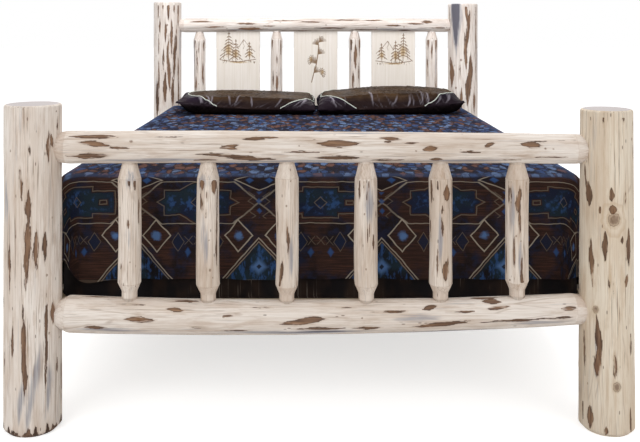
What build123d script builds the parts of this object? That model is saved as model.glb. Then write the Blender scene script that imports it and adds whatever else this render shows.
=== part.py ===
from build123d import *
import os

# Rustic log bed for a queen mattress set. Millimetres, +Z up, +Y towards the headboard.
# The origin is on the floor under the middle of the bed.
# Every log is a tapered, slightly bowed stick. Rails end in rounded shoulders and round tenons
# that sit in blind mortises of the posts, and the spindles do the same in the rails. The cross
# rails' shoulders are let into the round sides of the posts.

os.makedirs("parts", exist_ok=True)

# Bedding: the sizes that the frame is built around
mattress_width = 1524
mattress_length = 2032
mattress_height = 218
bedding_corner = 75
mattress_edge = 22
foundation_height = 127
foundation_edge = 6
comforter_thickness = 14
comforter_foot_hem = 371
comforter_side_hem = 328
comforter_head_gap = 22
pillow_width = 722
pillow_depth = 560
pillow_height = 118
pillow_corner = 80
pillow_belly = (45, 40)
pillow_shoulder = (42, 38)
pillow_crown = (70, 24)
pillow_spread = 365
pillow_head_gap = 6
soft_gap = 0.3

# Logs: the flats that the drawknife leaves round them, the spans that follow their bow, the steps of
# a rounded shoulder, and its lip outside the tenon. Slim sticks and fasteners are drawn with less.
log_flats = 16
spindle_flats = 12
fastener_flats = 8
rail_spans = 4
upright_spans = 2
rail_steps = 3
spindle_steps = 2
tenon_lip = 2

# Clearances
tenon_fit = 0.3
tenon_floor = 2
shoulder_seat = 0.2
seat_depth = 13
bolt_fit = 0.1
side_gap = 20
end_gap = 19
rail_inset = 6

# Posts: radius at the foot, the middle and the top, and the height
foot_post_left_radii = (78, 77.8, 77.4)
foot_post_right_radii = (75, 72.5, 69.8)
head_post_left_radii = (74.6, 74.3, 74)
head_post_right_radii = (80, 79.8, 79.2)
foot_post_left_height = 889
foot_post_right_height = 875
head_post_left_height = 1215
head_post_right_height = 1207
foot_post_right_inset = 9
post_top_round = 7
post_foot_chamfer = 10

# Footboard
foot_top_radii = (46, 43.6, 41.5)
foot_top_height = 769
foot_top_drift = -5
foot_top_bow = 3
foot_bottom_radii = (50.5, 46.6, 42.5)
foot_bottom_height = 309
foot_bottom_drift = 13
foot_bottom_bow = -15
foot_tenon_radius = 34
foot_shoulder = 33
rail_tenon = 62
foot_spindle_count = 6
foot_spindle_pitch = 214.2
foot_spindle_shift = 7
foot_spindle_nudges = (0, 4, 6, 12, 2, 0)
foot_spindle_radii = ((33, 32, 33), (34, 32.5, 32), (32.5, 32, 34), (33, 33.5, 32), (33.5, 32, 33))
foot_spindle_bows = (2, -3, 3, -2, 2, -2)
foot_spindle_tenon_radius = 20
foot_spindle_shoulder = 42
spindle_tenon = 32

# Headboard
head_top_radii = (38, 37, 36.5)
head_top_height = 1091
head_top_bow = 3
head_top_tenon_radius = 28
head_bottom_radii = (46, 45, 44)
head_bottom_height = 495
head_bottom_bow = 5
head_bottom_tenon_radius = 34
head_shoulder = 32
head_spindle_count = 4
head_spindle_pitch = 417.7
head_spindle_radii = ((33, 32, 33), (32.5, 33, 32), (33.5, 32, 32.5), (32, 33, 33))
head_spindle_bows = (2, -2, 2, -2)
head_spindle_tenon_radius = 19
head_spindle_shoulder = 40
panel_width = 234
panel_thickness = 19
panel_tongue = 9
panel_fit = 0.3
panel_floor = 3

# Side rails and the deck that carries the foundation
side_rail_radii = (54, 55, 53)
side_rail_height = 300
side_rail_crown = 6
side_rail_flat_offset = 30
side_tenon_radius = 27
side_tenon = 40
side_shoulder = 40
slat_top = 312
slat_count = 7
slat_width = 89
slat_thickness = 19
slat_end_inset = 66
slat_side_gap = 3
ledger_width = 38
ledger_height = 32
ledger_end_gap = 30
beam_width = 38
beam_height = 89
beam_end_gap = 60
leg_radius = 40
leg_flat_width = 66
leg_cheek = 46
leg_spread = 340
leg_chamfer = 5

# Fasteners
bolt_radius = 5
bolt_hole_radius = 5.5
bolt_in_post = 60
bolt_tail = 9
nut_flats = 17
nut_height = 8
washer_side = 30
washer_thickness = 3
pocket_wall = 62
pocket_length = 46
pocket_height = 40
pocket_depth_past_bolt = 17
leg_bolt_radius = 4
leg_bolt_rise = 24
leg_bolt_tail = 4
leg_nut_flats = 13
leg_nut_height = 6.5

# Places that follow from the sizes above
half_width = mattress_width / 2 + side_gap + side_rail_flat_offset + max(side_rail_radii) + rail_inset
half_length = mattress_length / 2 + end_gap + 2 * max(foot_post_left_radii + head_post_right_radii)
foot_plane = max(foot_post_left_radii) - half_length
head_plane = half_length - max(head_post_right_radii)
foot_left_x = max(foot_post_left_radii) - half_width
foot_right_x = half_width - foot_post_right_inset - max(foot_post_right_radii)
head_left_x = max(head_post_left_radii) - half_width
head_right_x = half_width - max(head_post_right_radii)
rail_flat_x = mattress_width / 2 + side_gap
side_rail_x = rail_flat_x + side_rail_flat_offset
ledger_top = slat_top - slat_thickness
foundation_base = slat_top + soft_gap
mattress_base = foundation_base + foundation_height + soft_gap
mattress_top = mattress_base + mattress_height
comforter_top = mattress_top + soft_gap + comforter_thickness


def save(name, *solids):
    """Write one named piece, or one set of like fasteners, to its own file."""
    shape = solids[0] if len(solids) == 1 else Compound(children=list(solids))
    export_step(shape, f"parts/{name}.step")


def prism(radius, length, flats):
    """A rod with flats about its own centre, along Z."""
    return extrude(RegularPolygon(radius, flats), length / 2, both=True)


def stack(rings):
    """A solid through sketches at rising heights, straight from one to the next."""
    outlines = Sketch()
    for z, outline in rings:
        outlines += Pos(0, 0, z) * outline
    return loft(outlines, ruled=True)


def end_rings(radius, end_radius, length, rounded, steps):
    """Rings of a shoulder as (depth towards the stem, radius), from its tip to just before the stem."""
    if not rounded:
        return [(0, end_radius)]
    drop = radius - end_radius
    arc = (length**2 + drop**2) / (2 * drop)
    depths = [length * step / steps for step in range(steps)]
    return [(depth, radius - arc + (arc**2 - (length - depth) ** 2) ** 0.5) for depth in depths]


class Log:
    """A peeled log along the normal of its plane, from one shoulder line to the other."""

    flats = log_flats
    spans = rail_spans
    steps = rail_steps

    def __init__(self, plane, length, radii, shoulders, rounded, bow=(0, 0), drift=(0, 0)):
        self.plane = plane
        self.length = length
        self.rounded = rounded
        self.start, self.stop = shoulders[0], length - shoulders[1]
        first, middle, last = radii
        self.stations = []
        for step in range(self.spans + 1):
            u = step / self.spans
            radius = first * (1 - u) * (1 - 2 * u) + 4 * middle * u * (1 - u) + last * u * (2 * u - 1)
            centre = tuple(b * 4 * u * (1 - u) + d * u for b, d in zip(bow, drift))
            self.stations.append((self.start + (self.stop - self.start) * u, radius, centre))

    def section(self, z):
        """Radius and sideways centre of the stem at z, straight from one station to the next."""
        spans = list(zip(self.stations, self.stations[1:]))
        low, high = next((span for span in spans if z < span[1][0]), spans[-1])
        share = min(max((z - low[0]) / (high[0] - low[0]), 0), 1)
        radius = low[1] + (high[1] - low[1]) * share
        return radius, tuple(a + (b - a) * share for a, b in zip(low[2], high[2]))

    def radius(self, z):
        return self.section(z)[0]

    def centre(self, z):
        return self.section(z)[1]

    def stick(self, end_radii, room=0):
        """The stem with its two ends drawn in to the given radii, or with room all round as a cutter."""
        first_centre, last_centre = self.centre(self.start), self.centre(self.stop)
        ends = (self.start, self.length - self.stop)
        radii = (self.radius(self.start), self.radius(self.stop))
        first, last = (
            end_rings(*sizes, self.steps) for sizes in zip(radii, end_radii, ends, self.rounded)
        )
        rings = [(depth, radius, first_centre) for depth, radius in first]
        rings += self.stations
        rings += [(self.length - depth, radius, last_centre) for depth, radius in reversed(last)]
        rings[0], rings[-1] = (-room, *rings[0][1:]), (self.length + room, *rings[-1][1:])
        outlines = []
        for z, radius, centre in rings:
            outlines.append((z, Pos(*centre) * RegularPolygon(radius + room, self.flats)))
        return self.plane * stack(outlines)

    def rod(self, radius, length):
        return Cylinder(radius, length)

    def rods(self, radius, reach, overlap):
        """A rod past each end, reaching out by reach and back into the log by overlap."""
        rod = self.rod(radius, reach + overlap)
        first = Pos(*self.centre(self.start), (overlap - reach) / 2) * rod
        last = Pos(*self.centre(self.stop), self.length + (reach - overlap) / 2) * rod
        return [self.plane * first, self.plane * last]

    def tenoned(self, radius, reach):
        """The log with a shoulder and a tenon at each end."""
        first, last = self.rods(radius, reach, overlap=tenon_lip)
        return self.stick(self.shoulder_tips(radius)) + first + last

    def shoulder_tips(self, tenon_radius):
        return tenon_radius + tenon_lip, tenon_radius + tenon_lip

    def seats(self, tenon_radius):
        """The room that its two shoulders take up where they are let into a post, as a cutter."""
        return self.stick(self.shoulder_tips(tenon_radius), room=shoulder_seat)

    def sockets(self, radius, reach):
        """The blind mortises that the two tenons sit in, as cutters."""
        return self.rods(radius + tenon_fit, reach + tenon_floor, overlap=0)


class Upright(Log):
    """A standing log: no sag to follow, so fewer spans."""

    spans = upright_spans


class Spindle(Upright):
    """A slim upright, with fewer flats on its stem and its tenons."""

    flats = spindle_flats
    steps = spindle_steps

    def rod(self, radius, length):
        return prism(radius, length, self.flats)


def post(x, y, radii, height):
    """An upright corner log: chamfered foot, rounded top edge."""
    ends = (post_foot_chamfer, post_top_round)
    return Upright(Plane(origin=(x, y, 0)), height, radii, ends, rounded=(False, True))


def post_reach(upright, height, tenon_radius):
    """The post's largest radius over the height of a tenon."""
    return max(upright.radius(height - tenon_radius), upright.radius(height + tenon_radius))


def cross_rail(ends, height, radii, tenon_radius, shoulder, bow, drift=0, rounded=(True, True)):
    """A log from the side of one post to the side of the other."""
    left, right = ends
    start = left.plane.origin.X + post_reach(left, height, tenon_radius) - seat_depth
    stop = right.plane.origin.X - post_reach(right, height + drift, tenon_radius) + seat_depth
    return Log(
        Plane(origin=(start, left.plane.origin.Y, height), x_dir=(0, 1, 0), z_dir=(1, 0, 0)),
        stop - start,
        radii,
        (shoulder, shoulder),
        rounded=rounded,
        bow=(0, bow),
        drift=(0, drift),
    )


def rail_edge(rail, x, side, reach):
    """Outermost height of a cross rail's upper (side 1) or lower (side -1) edge, within reach of x."""
    edges = []
    for place in (x - reach, x, x + reach):
        along = place - rail.plane.origin.X
        edges.append(rail.plane.origin.Z + rail.centre(along)[1] + side * rail.radius(along))
    return side * max(side * edge for edge in edges)


def spindle(x, below, above, radii, tenon_radius, shoulder, bow):
    """A short upright log between two rails: a straight taper below, a rounded shoulder above."""
    low = rail_edge(below, x, 1, tenon_radius) + shoulder_seat
    high = rail_edge(above, x, -1, tenon_radius) - shoulder_seat
    return Spindle(
        Plane(origin=(x, below.plane.origin.Y, low)),
        high - low,
        radii,
        (shoulder, shoulder),
        rounded=(False, True),
        bow=(bow, bow / 2),
    )


def cut(solid, cutters):
    """The solid with every cutter taken out of it."""
    for cutter in cutters:
        solid -= cutter
    return solid


def block(x, y, z, centre):
    """A plain block of the given size about its centre."""
    return Pos(*centre) * Box(x, y, z)


def nut(flats, height, bore):
    """A hexagon nut about its own centre."""
    outline = RegularPolygon(flats / 2, 6, major_radius=False) - RegularPolygon(bore, fastener_flats)
    return extrude(outline, height / 2, both=True)


# ---- Posts and rails
foot_left = post(foot_left_x, foot_plane, foot_post_left_radii, foot_post_left_height)
foot_right = post(foot_right_x, foot_plane, foot_post_right_radii, foot_post_right_height)
head_left = post(head_left_x, head_plane, head_post_left_radii, head_post_left_height)
head_right = post(head_right_x, head_plane, head_post_right_radii, head_post_right_height)
foot_posts = (foot_left, foot_right)
head_posts = (head_left, head_right)

foot_end = (foot_tenon_radius, foot_shoulder)
foot_top = cross_rail(foot_posts, foot_top_height, foot_top_radii, *foot_end, foot_top_bow, foot_top_drift)
foot_bottom = cross_rail(
    foot_posts,
    foot_bottom_height,
    foot_bottom_radii,
    *foot_end,
    foot_bottom_bow,
    foot_bottom_drift,
    rounded=(False, True),
)
head_end = (head_top_tenon_radius, head_shoulder)
head_top = cross_rail(head_posts, head_top_height, head_top_radii, *head_end, head_top_bow)
head_end = (head_bottom_tenon_radius, head_shoulder)
head_bottom = cross_rail(head_posts, head_bottom_height, head_bottom_radii, *head_end, head_bottom_bow)

# ---- Spindles
foot_spindles = []
spindle_end = (foot_spindle_tenon_radius, foot_spindle_shoulder)
for number in range(foot_spindle_count):
    offset = (number - (foot_spindle_count - 1) / 2) * foot_spindle_pitch
    x = foot_spindle_shift + offset + foot_spindle_nudges[number % len(foot_spindle_nudges)]
    radii = foot_spindle_radii[number % len(foot_spindle_radii)]
    bow = foot_spindle_bows[number % len(foot_spindle_bows)]
    foot_spindles.append(spindle(x, foot_bottom, foot_top, radii, *spindle_end, bow))

head_spindles = []
spindle_end = (head_spindle_tenon_radius, head_spindle_shoulder)
for number in range(head_spindle_count):
    x = (number - (head_spindle_count - 1) / 2) * head_spindle_pitch
    radii = head_spindle_radii[number % len(head_spindle_radii)]
    bow = head_spindle_bows[number % len(head_spindle_bows)]
    head_spindles.append(spindle(x, head_bottom, head_top, radii, *spindle_end, bow))

foot_spindle_joint = (foot_spindle_tenon_radius, spindle_tenon)
head_spindle_joint = (head_spindle_tenon_radius, spindle_tenon)
foot_rail_cuts = [log.sockets(*foot_spindle_joint) for log in foot_spindles]
head_rail_cuts = [log.sockets(*head_spindle_joint) for log in head_spindles]
for number, log in enumerate(foot_spindles, 1):
    save(f"footboard_spindle_{number}", log.tenoned(*foot_spindle_joint))
for number, log in enumerate(head_spindles, 1):
    save(f"headboard_spindle_{number}", log.tenoned(*head_spindle_joint))

# ---- Panels: boards between the headboard's spindles, their ends in grooves of the two rails
panel_grooves = []
for number, name in enumerate(("left", "centre", "right")):
    x = (number - 1) * head_spindle_pitch
    low = rail_edge(head_bottom, x, 1, panel_width / 2) - panel_tongue
    high = rail_edge(head_top, x, -1, panel_width / 2) + panel_tongue
    middle = (x, head_plane, (low + high) / 2)
    save(f"headboard_panel_{name}", block(panel_width, panel_thickness, high - low, middle))
    groove = (panel_width + 2 * panel_fit, panel_thickness + 2 * panel_fit, high - low + 2 * panel_floor)
    panel_grooves.append(block(*groove, middle))

foot_joint = (foot_tenon_radius, rail_tenon - seat_depth)
head_top_joint = (head_top_tenon_radius, rail_tenon - seat_depth)
head_bottom_joint = (head_bottom_tenon_radius, rail_tenon - seat_depth)
foot_lower_cuts, foot_upper_cuts = zip(*foot_rail_cuts)
head_lower_cuts, head_upper_cuts = zip(*head_rail_cuts)
save("footboard_top_rail", cut(foot_top.tenoned(*foot_joint), foot_upper_cuts))
save("footboard_bottom_rail", cut(foot_bottom.tenoned(*foot_joint), foot_lower_cuts))
head_upper_cuts += tuple(panel_grooves)
head_lower_cuts += tuple(panel_grooves)
save("headboard_top_rail", cut(head_top.tenoned(*head_top_joint), head_upper_cuts))
save("headboard_bottom_rail", cut(head_bottom.tenoned(*head_bottom_joint), head_lower_cuts))

# ---- Side rails: logs with a flat inside, held by a threaded rod from each post into a pocket
side_rails, post_cuts = {}, {}
bolts, washers, nuts = [], [], []
sides = (("left", -1, foot_left, head_left), ("right", 1, foot_right, head_right))
for name, side, foot_post, head_post in sides:
    rail_x = side * side_rail_x
    start = foot_plane + post_reach(foot_post, side_rail_height, side_tenon_radius) + shoulder_seat
    stop = head_plane - post_reach(head_post, side_rail_height, side_tenon_radius) - shoulder_seat
    rail = Log(
        Plane(origin=(rail_x, start, side_rail_height), x_dir=(1, 0, 0), z_dir=(0, 1, 0)),
        stop - start,
        side_rail_radii,
        (side_shoulder, side_shoulder),
        rounded=(True, True),
        bow=(0, -side_rail_crown),
    )
    waste = 2 * max(side_rail_radii)
    flat = (side * (rail_flat_x - waste / 2), (start + stop) / 2, side_rail_height)
    solid = rail.tenoned(side_tenon_radius, side_tenon) - block(waste, stop - start, 2 * waste, flat)
    sockets = rail.sockets(side_tenon_radius, side_tenon)
    for post_name, inwards, y in (("foot", 1, start), ("head", -1, stop)):
        bolt_start = y - inwards * (side_tenon + bolt_in_post)
        face = y + inwards * pocket_wall
        bolt_stop = face + inwards * (washer_thickness + nut_height + bolt_tail)
        bolt_length = abs(bolt_stop - bolt_start)
        bolt_place = Pos(rail_x, (bolt_start + bolt_stop) / 2, side_rail_height) * Rot(90, 0, 0)
        bolts.append(bolt_place * prism(bolt_radius, bolt_length, fastener_flats))
        solid -= bolt_place * prism(bolt_hole_radius, bolt_length, fastener_flats)
        drill = bolt_place * prism(bolt_radius + bolt_fit, bolt_length + 2 * tenon_floor, fastener_flats)
        post_cuts[f"{post_name}_{name}"] = [sockets[0 if post_name == "foot" else 1], drill]
        pocket_width = pocket_depth_past_bolt + side_rail_flat_offset + 1
        pocket_x = rail_x + side * (pocket_depth_past_bolt - pocket_width / 2)
        pocket = (pocket_x, face + inwards * pocket_length / 2, side_rail_height)
        solid -= block(pocket_width, pocket_length, pocket_height, pocket)
        bore = prism(bolt_hole_radius, washer_thickness, fastener_flats)
        washer = Box(washer_side, washer_side, washer_thickness) - bore
        washer_y = face + inwards * washer_thickness / 2
        washers.append(Pos(rail_x, washer_y, side_rail_height) * Rot(90, 0, 0) * washer)
        nut_y = face + inwards * (washer_thickness + nut_height / 2)
        hexagon = nut(nut_flats, nut_height, bolt_radius + bolt_fit)
        nuts.append(Pos(rail_x, nut_y, side_rail_height) * Rot(90, 0, 0) * hexagon)
    side_rails[name] = solid

save("rail_bolts", *bolts)
save("rail_washers", *washers)
save("rail_nuts", *nuts)

rails_in_posts = {
    "foot": ((foot_top, foot_joint), (foot_bottom, foot_joint)),
    "head": ((head_top, head_top_joint), (head_bottom, head_bottom_joint)),
}
for board, posts in (("foot", foot_posts), ("head", head_posts)):
    for end, (side, log) in enumerate(zip(("left", "right"), posts)):
        ends = (log.radius(0) - post_foot_chamfer, log.radius(log.length) - post_top_round)
        cutters = list(post_cuts[f"{board}_{side}"])
        for rail, joint in rails_in_posts[board]:
            cutters += [rail.sockets(*joint)[end], rail.seats(joint[0])]
        save(f"{board}board_post_{side}", cut(log.stick(ends), cutters))

# ---- Deck: ledgers on the rails' flats, slats across them, and a beam on two legs
deck_start = foot_plane + max(foot_post_left_radii) + ledger_end_gap
deck_stop = head_plane - max(head_post_right_radii) - ledger_end_gap
ledger_x = rail_flat_x - ledger_width / 2
ledger_z = ledger_top - ledger_height / 2
slat_half = rail_flat_x - slat_side_gap
slat_pitch = (mattress_length - 2 * slat_end_inset) / (slat_count - 1)
for number in range(slat_count):
    y = slat_end_inset - mattress_length / 2 + slat_pitch * number
    middle = (0, y, slat_top - slat_thickness / 2)
    save(f"slat_{number + 1}", block(2 * slat_half, slat_width, slat_thickness, middle))
for name, side in (("left", -1), ("right", 1)):
    middle = (side * ledger_x, (deck_start + deck_stop) / 2, ledger_z)
    save(f"ledger_{name}", block(ledger_width, deck_stop - deck_start, ledger_height, middle))
    save(f"side_rail_{name}", side_rails[name])

beam_start = foot_plane + max(foot_post_left_radii) + beam_end_gap
beam_stop = head_plane - max(head_post_right_radii) - beam_end_gap
beam_base = ledger_top - beam_height
leg_height = beam_base + leg_cheek
leg_bolt_height = beam_base + leg_bolt_rise
beam_middle = (0, (beam_start + beam_stop) / 2, ledger_top - beam_height / 2)
beam = block(beam_width, beam_stop - beam_start, beam_height, beam_middle)
leg_bolts, leg_nuts = [], []
for name, side in (("front", -1), ("rear", 1)):
    y = side * leg_spread
    rings = ((0, leg_radius - leg_chamfer), (leg_chamfer, leg_radius), (leg_height, leg_radius))
    leg = stack([(z, RegularPolygon(radius, spindle_flats)) for z, radius in rings])
    leg &= block(leg_flat_width, 2 * leg_radius, 2 * leg_height, (0, 0, 0))
    leg = Pos(0, y, 0) * (leg - block(beam_width, 2 * leg_radius, 2 * leg_cheek, (0, 0, leg_height)))
    reach = leg_flat_width + 2 * leg_nut_height + leg_bolt_tail
    across = Pos(leg_bolt_tail / 2, y, leg_bolt_height) * Rot(0, 90, 0)
    hole = across * prism(leg_bolt_radius + bolt_fit, reach, fastener_flats)
    nut_x = (leg_flat_width + leg_nut_height) / 2
    head = nut(leg_nut_flats, leg_nut_height, leg_bolt_radius)
    head = Pos(-nut_x, y, leg_bolt_height) * Rot(0, 90, 0) * head
    leg_bolts.append(across * prism(leg_bolt_radius, reach, fastener_flats) + head)
    hexagon = nut(leg_nut_flats, leg_nut_height, leg_bolt_radius + bolt_fit)
    leg_nuts.append(Pos(nut_x, y, leg_bolt_height) * Rot(0, 90, 0) * hexagon)
    save(f"centre_leg_{name}", leg - hole)
    beam -= hole
save("centre_beam", beam)
save("leg_bolts", *leg_bolts)
save("leg_nuts", *leg_nuts)


# ---- Bedding
def padded_block(height, edge, base):
    """A mattress-like block: rounded upright corners, its upper and lower edges taken off."""
    outline = RectangleRounded(mattress_width, mattress_length, bedding_corner)
    solid = Pos(0, 0, base) * extrude(outline, height)
    return chamfer(solid.faces().filter_by(Axis.Z).edges(), edge)


save("foundation", padded_block(foundation_height, foundation_edge, foundation_base))
save("mattress", padded_block(mattress_height, mattress_edge, mattress_base))


def cover(grow, head_y, base, top, edge):
    """The space under a cloth laid over the mattress: rounded at the foot, square at the head."""
    foot_y = -mattress_length / 2 - grow
    sheet = Rectangle(mattress_width + 2 * grow, head_y - foot_y)
    sheet = fillet(sheet.vertices().group_by(Axis.Y)[0], bedding_corner + grow)
    solid = Pos(0, (foot_y + head_y) / 2, base) * extrude(sheet, top - base)
    rim = [e for e in solid.faces().sort_by(Axis.Z)[-1].edges() if e.center().Y < head_y - 1]
    return chamfer(rim, edge)


comforter_head = mattress_length / 2 - comforter_head_gap
comforter_edge = mattress_edge + comforter_thickness
grow = soft_gap + comforter_thickness
outside = cover(grow, comforter_head, comforter_side_hem, comforter_top, comforter_edge)
inside = cover(soft_gap, comforter_head + 1, comforter_side_hem - 1, mattress_top + soft_gap, mattress_edge)
trim_length = bedding_corner + grow
trim_y = -mattress_length / 2 - grow + trim_length / 2
foot_trim = block(2 * half_width, trim_length, comforter_foot_hem, (0, trim_y, comforter_foot_hem / 2))
save("comforter", outside - inside - foot_trim)


def pillow(x, y):
    """A lying pillow: full at its waist, drawn in below and crowned above. Insets come before drops."""
    solid = extrude(chamfer(Rectangle(pillow_width, pillow_depth).vertices(), pillow_corner), pillow_height)
    for end, slope in ((0, pillow_belly), (-1, pillow_shoulder), (-1, pillow_crown)):
        face = solid.faces().sort_by(Axis.Z)[end]
        solid = chamfer(face.edges(), *slope, reference=face)
    return Pos(x, y, comforter_top + soft_gap) * solid


pillow_y = head_plane - max(head_bottom_radii) - pillow_head_gap - pillow_depth / 2
save("pillow_left", pillow(-pillow_spread, pillow_y))
save("pillow_right", pillow(pillow_spread, pillow_y))
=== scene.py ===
import math
from functools import partialmethod, reduce

import bmesh
import bpy
import numpy as np
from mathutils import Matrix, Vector


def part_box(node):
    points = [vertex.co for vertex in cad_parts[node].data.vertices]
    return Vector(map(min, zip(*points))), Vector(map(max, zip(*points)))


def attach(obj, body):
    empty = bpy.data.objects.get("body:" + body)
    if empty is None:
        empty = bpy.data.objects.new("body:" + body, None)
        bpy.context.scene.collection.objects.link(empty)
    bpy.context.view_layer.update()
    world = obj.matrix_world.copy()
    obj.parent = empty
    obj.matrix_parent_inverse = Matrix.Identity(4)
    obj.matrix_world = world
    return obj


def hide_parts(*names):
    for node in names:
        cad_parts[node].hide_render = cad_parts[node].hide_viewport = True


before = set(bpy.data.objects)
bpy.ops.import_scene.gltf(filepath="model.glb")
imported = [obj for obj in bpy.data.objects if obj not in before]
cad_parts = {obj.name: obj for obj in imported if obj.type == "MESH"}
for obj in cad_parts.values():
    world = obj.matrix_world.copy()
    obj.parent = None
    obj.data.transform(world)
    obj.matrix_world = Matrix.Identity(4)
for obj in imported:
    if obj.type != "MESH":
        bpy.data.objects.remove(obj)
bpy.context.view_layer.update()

# Rustic log bed, metres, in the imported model's frame: +Z up, footboard towards -Y.

# ---- The photograph's camera: level, in front of the footboard, the frame shifted down
CAMERA = Vector((-0.029, -3.459, 1.120))
FOCAL_PIXELS = 848.0
FRAME_PIXELS = (640, 442)
HORIZON_PIXEL = (310.3, 20.0)
SENSOR_WIDTH = 36

TURN = 2 * math.pi
LAST_PHASE = 6.28
rng = np.random.default_rng(17)


# ======================================================================================
# Node helpers: a small wrapper so that shader maths reads as formulas
# ======================================================================================
class Value:
    """One output in a node tree, with the usual operators."""

    def __init__(self, tree, socket):
        self.tree, self.socket = tree, socket

    def apply(self, operation, other=0.0, swap=False):
        first, second = (other, self) if swap else (self, other)
        made = add_node(self.tree, "ShaderNodeMath", {0: first, 1: second}, operation=operation)
        return Value(self.tree, made.outputs[0])

    __add__ = __radd__ = partialmethod(apply, "ADD")
    __sub__ = partialmethod(apply, "SUBTRACT")
    __rsub__ = partialmethod(apply, "SUBTRACT", swap=True)
    __mul__ = __rmul__ = partialmethod(apply, "MULTIPLY")
    __truediv__ = partialmethod(apply, "DIVIDE")
    __abs__ = partialmethod(apply, "ABSOLUTE")
    floor = partialmethod(apply, "FLOOR")
    root = partialmethod(apply, "SQRT")
    sine = partialmethod(apply, "SINE")
    least = partialmethod(apply, "MINIMUM")
    most = partialmethod(apply, "MAXIMUM")
    fold = partialmethod(apply, "PINGPONG")  # a triangle wave between 0 and the given span
    remainder = partialmethod(apply, "MODULO")

    def step(self, size):
        """The value held to the middle of steps of the given size."""
        return (self / size).floor() * size + size / 2

    def ramp(self, low, high):
        """0 below low, 1 above high, smooth between."""
        inputs = {0: self, 1: low, 2: high}
        made = add_node(self.tree, "ShaderNodeMapRange", inputs, interpolation_type="SMOOTHSTEP")
        return Value(self.tree, made.outputs[0])

    def band(self, centre, half, soft=0.0006):
        """1 within half of centre, with soft edges."""
        return 1 - abs(self - centre).ramp(half - soft, half + soft)


def feed(tree, socket, value):
    """Link a Value to a socket, or set its number, vector or colour."""
    if isinstance(value, Value):
        tree.links.new(value.socket, socket)
    elif socket.type == "RGBA":
        socket.default_value = (*value, 1)
    else:
        socket.default_value = value


def add_node(tree, kind, inputs=None, **settings):
    made = tree.nodes.new(kind)
    for key, value in settings.items():
        setattr(made, key, value)
    for key, value in (inputs or {}).items():
        feed(tree, made.inputs[key], value)
    return made


def only_seen(tree):
    """1 for the camera and for mirrored and transmitted rays, 0 for what lights the object."""
    rays = add_node(tree, "ShaderNodeLightPath")
    camera, glossy, through = (
        Value(tree, rays.outputs[f"Is {ray} Ray"]) for ray in ("Camera", "Glossy", "Transmission"))
    return camera.most(glossy).most(through)


class Finish:
    """A procedural material under construction; each paint() lies over the ones before."""

    def __init__(self, name, colour):
        self.material = bpy.data.materials.new(name)
        self.material.use_nodes = True
        self.tree = self.material.node_tree
        self.colour = colour

    def node(self, kind, inputs=None, output=0, **settings):
        return Value(self.tree, add_node(self.tree, kind, inputs, **settings).outputs[output])

    def attribute(self, name, output="Fac"):
        return self.node("ShaderNodeAttribute", output=output, attribute_name=name)

    def place(self):
        return self.node("ShaderNodeTexCoord", output="Object")

    def stretch(self, vector, *scale):
        return self.node("ShaderNodeMapping", {"Vector": vector, "Scale": scale})

    def split(self, vector):
        made = add_node(self.tree, "ShaderNodeSeparateXYZ", {0: vector})
        return [Value(self.tree, out) for out in made.outputs]

    def join(self, x=0.0, y=0.0, z=0.0):
        return self.node("ShaderNodeCombineXYZ", {0: x, 1: y, 2: z})

    def noise(self, vector, scale=1.0, detail=2.0, roughness=0.5, distortion=0.0):
        inputs = {"Vector": vector, "Scale": scale, "Detail": detail, "Roughness": roughness}
        return self.node("ShaderNodeTexNoise", inputs | {"Distortion": distortion})

    def cells(self, vector, feature="F1", output="Distance", randomness=1.0):
        inputs = {"Vector": vector, "Scale": 1.0, "Randomness": randomness}
        return self.node("ShaderNodeTexVoronoi", inputs, output, feature=feature)

    def mix(self, share, first, second):
        """From the first colour to the second by share."""
        return self.node("ShaderNodeMix", {0: share, 6: first, 7: second}, output=2, data_type="RGBA")

    def paint(self, share, colour):
        self.colour = self.mix(share, self.colour, colour)

    def done(self, relief=None, **inputs):
        """The material. Relief is a height, strength and distance, and the rest are the shader's inputs."""
        shader = self.tree.nodes["Principled BSDF"]
        if relief:
            bump = dict(zip(("Height", "Strength", "Distance"), relief))
            inputs["Normal"] = self.node("ShaderNodeBump", bump)
        for key, value in {"Base_Color": self.colour, **inputs}.items():
            feed(self.tree, shader.inputs[key.replace("_", " ")], value)
        return self.material


# ======================================================================================
# Materials
# ======================================================================================
# ---- Wood, each as pale, middle and warm or dark
CREAM_PINE = (0.80, 0.73, 0.665), (0.665, 0.570, 0.490), (0.455, 0.325, 0.235)
WHITE_PINE = (0.83, 0.775, 0.73), (0.69, 0.62, 0.57), (0.47, 0.35, 0.285)
TAN_PINE = (0.78, 0.695, 0.615), (0.61, 0.505, 0.415), (0.43, 0.30, 0.21)
YELLOW_PINE = (0.74, 0.65, 0.53), (0.62, 0.505, 0.385), (0.50, 0.355, 0.225)
PANEL_PINE = (0.83, 0.775, 0.725), (0.745, 0.68, 0.605), (0.56, 0.46, 0.36)
DECK_PINE = (0.62, 0.50, 0.36), (0.50, 0.37, 0.23), (0.36, 0.23, 0.13)
LEG_PINE = (0.68, 0.56, 0.42), (0.56, 0.43, 0.29), (0.40, 0.27, 0.16)
FACET_EDGE_SHADE = (0.32, 0.21, 0.14)
WEATHERED = (0.24, 0.16, 0.11)
SPECK = (0.13, 0.075, 0.045)
STAIN_GREY = (0.25, 0.25, 0.285)
STAIN_DEEP = (0.075, 0.072, 0.10)
BARK_BROWN = (0.098, 0.042, 0.020)
BARK_TAN = (0.235, 0.12, 0.057)
BARK_FIBRE = (0.37, 0.225, 0.13)
BARK_RIM = (0.045, 0.02, 0.011)
BARK_DARK = (0.035, 0.02, 0.014)
BARK_ASH = (0.10, 0.055, 0.035)
SAWN_END = (0.57, 0.525, 0.52)
SAWN_RING = (0.43, 0.375, 0.35)
SAWN_RIM = (0.66, 0.61, 0.60)
SAWN_SPECK = (0.42, 0.36, 0.34)
BURN_WASH = (0.43, 0.275, 0.10)
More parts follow.
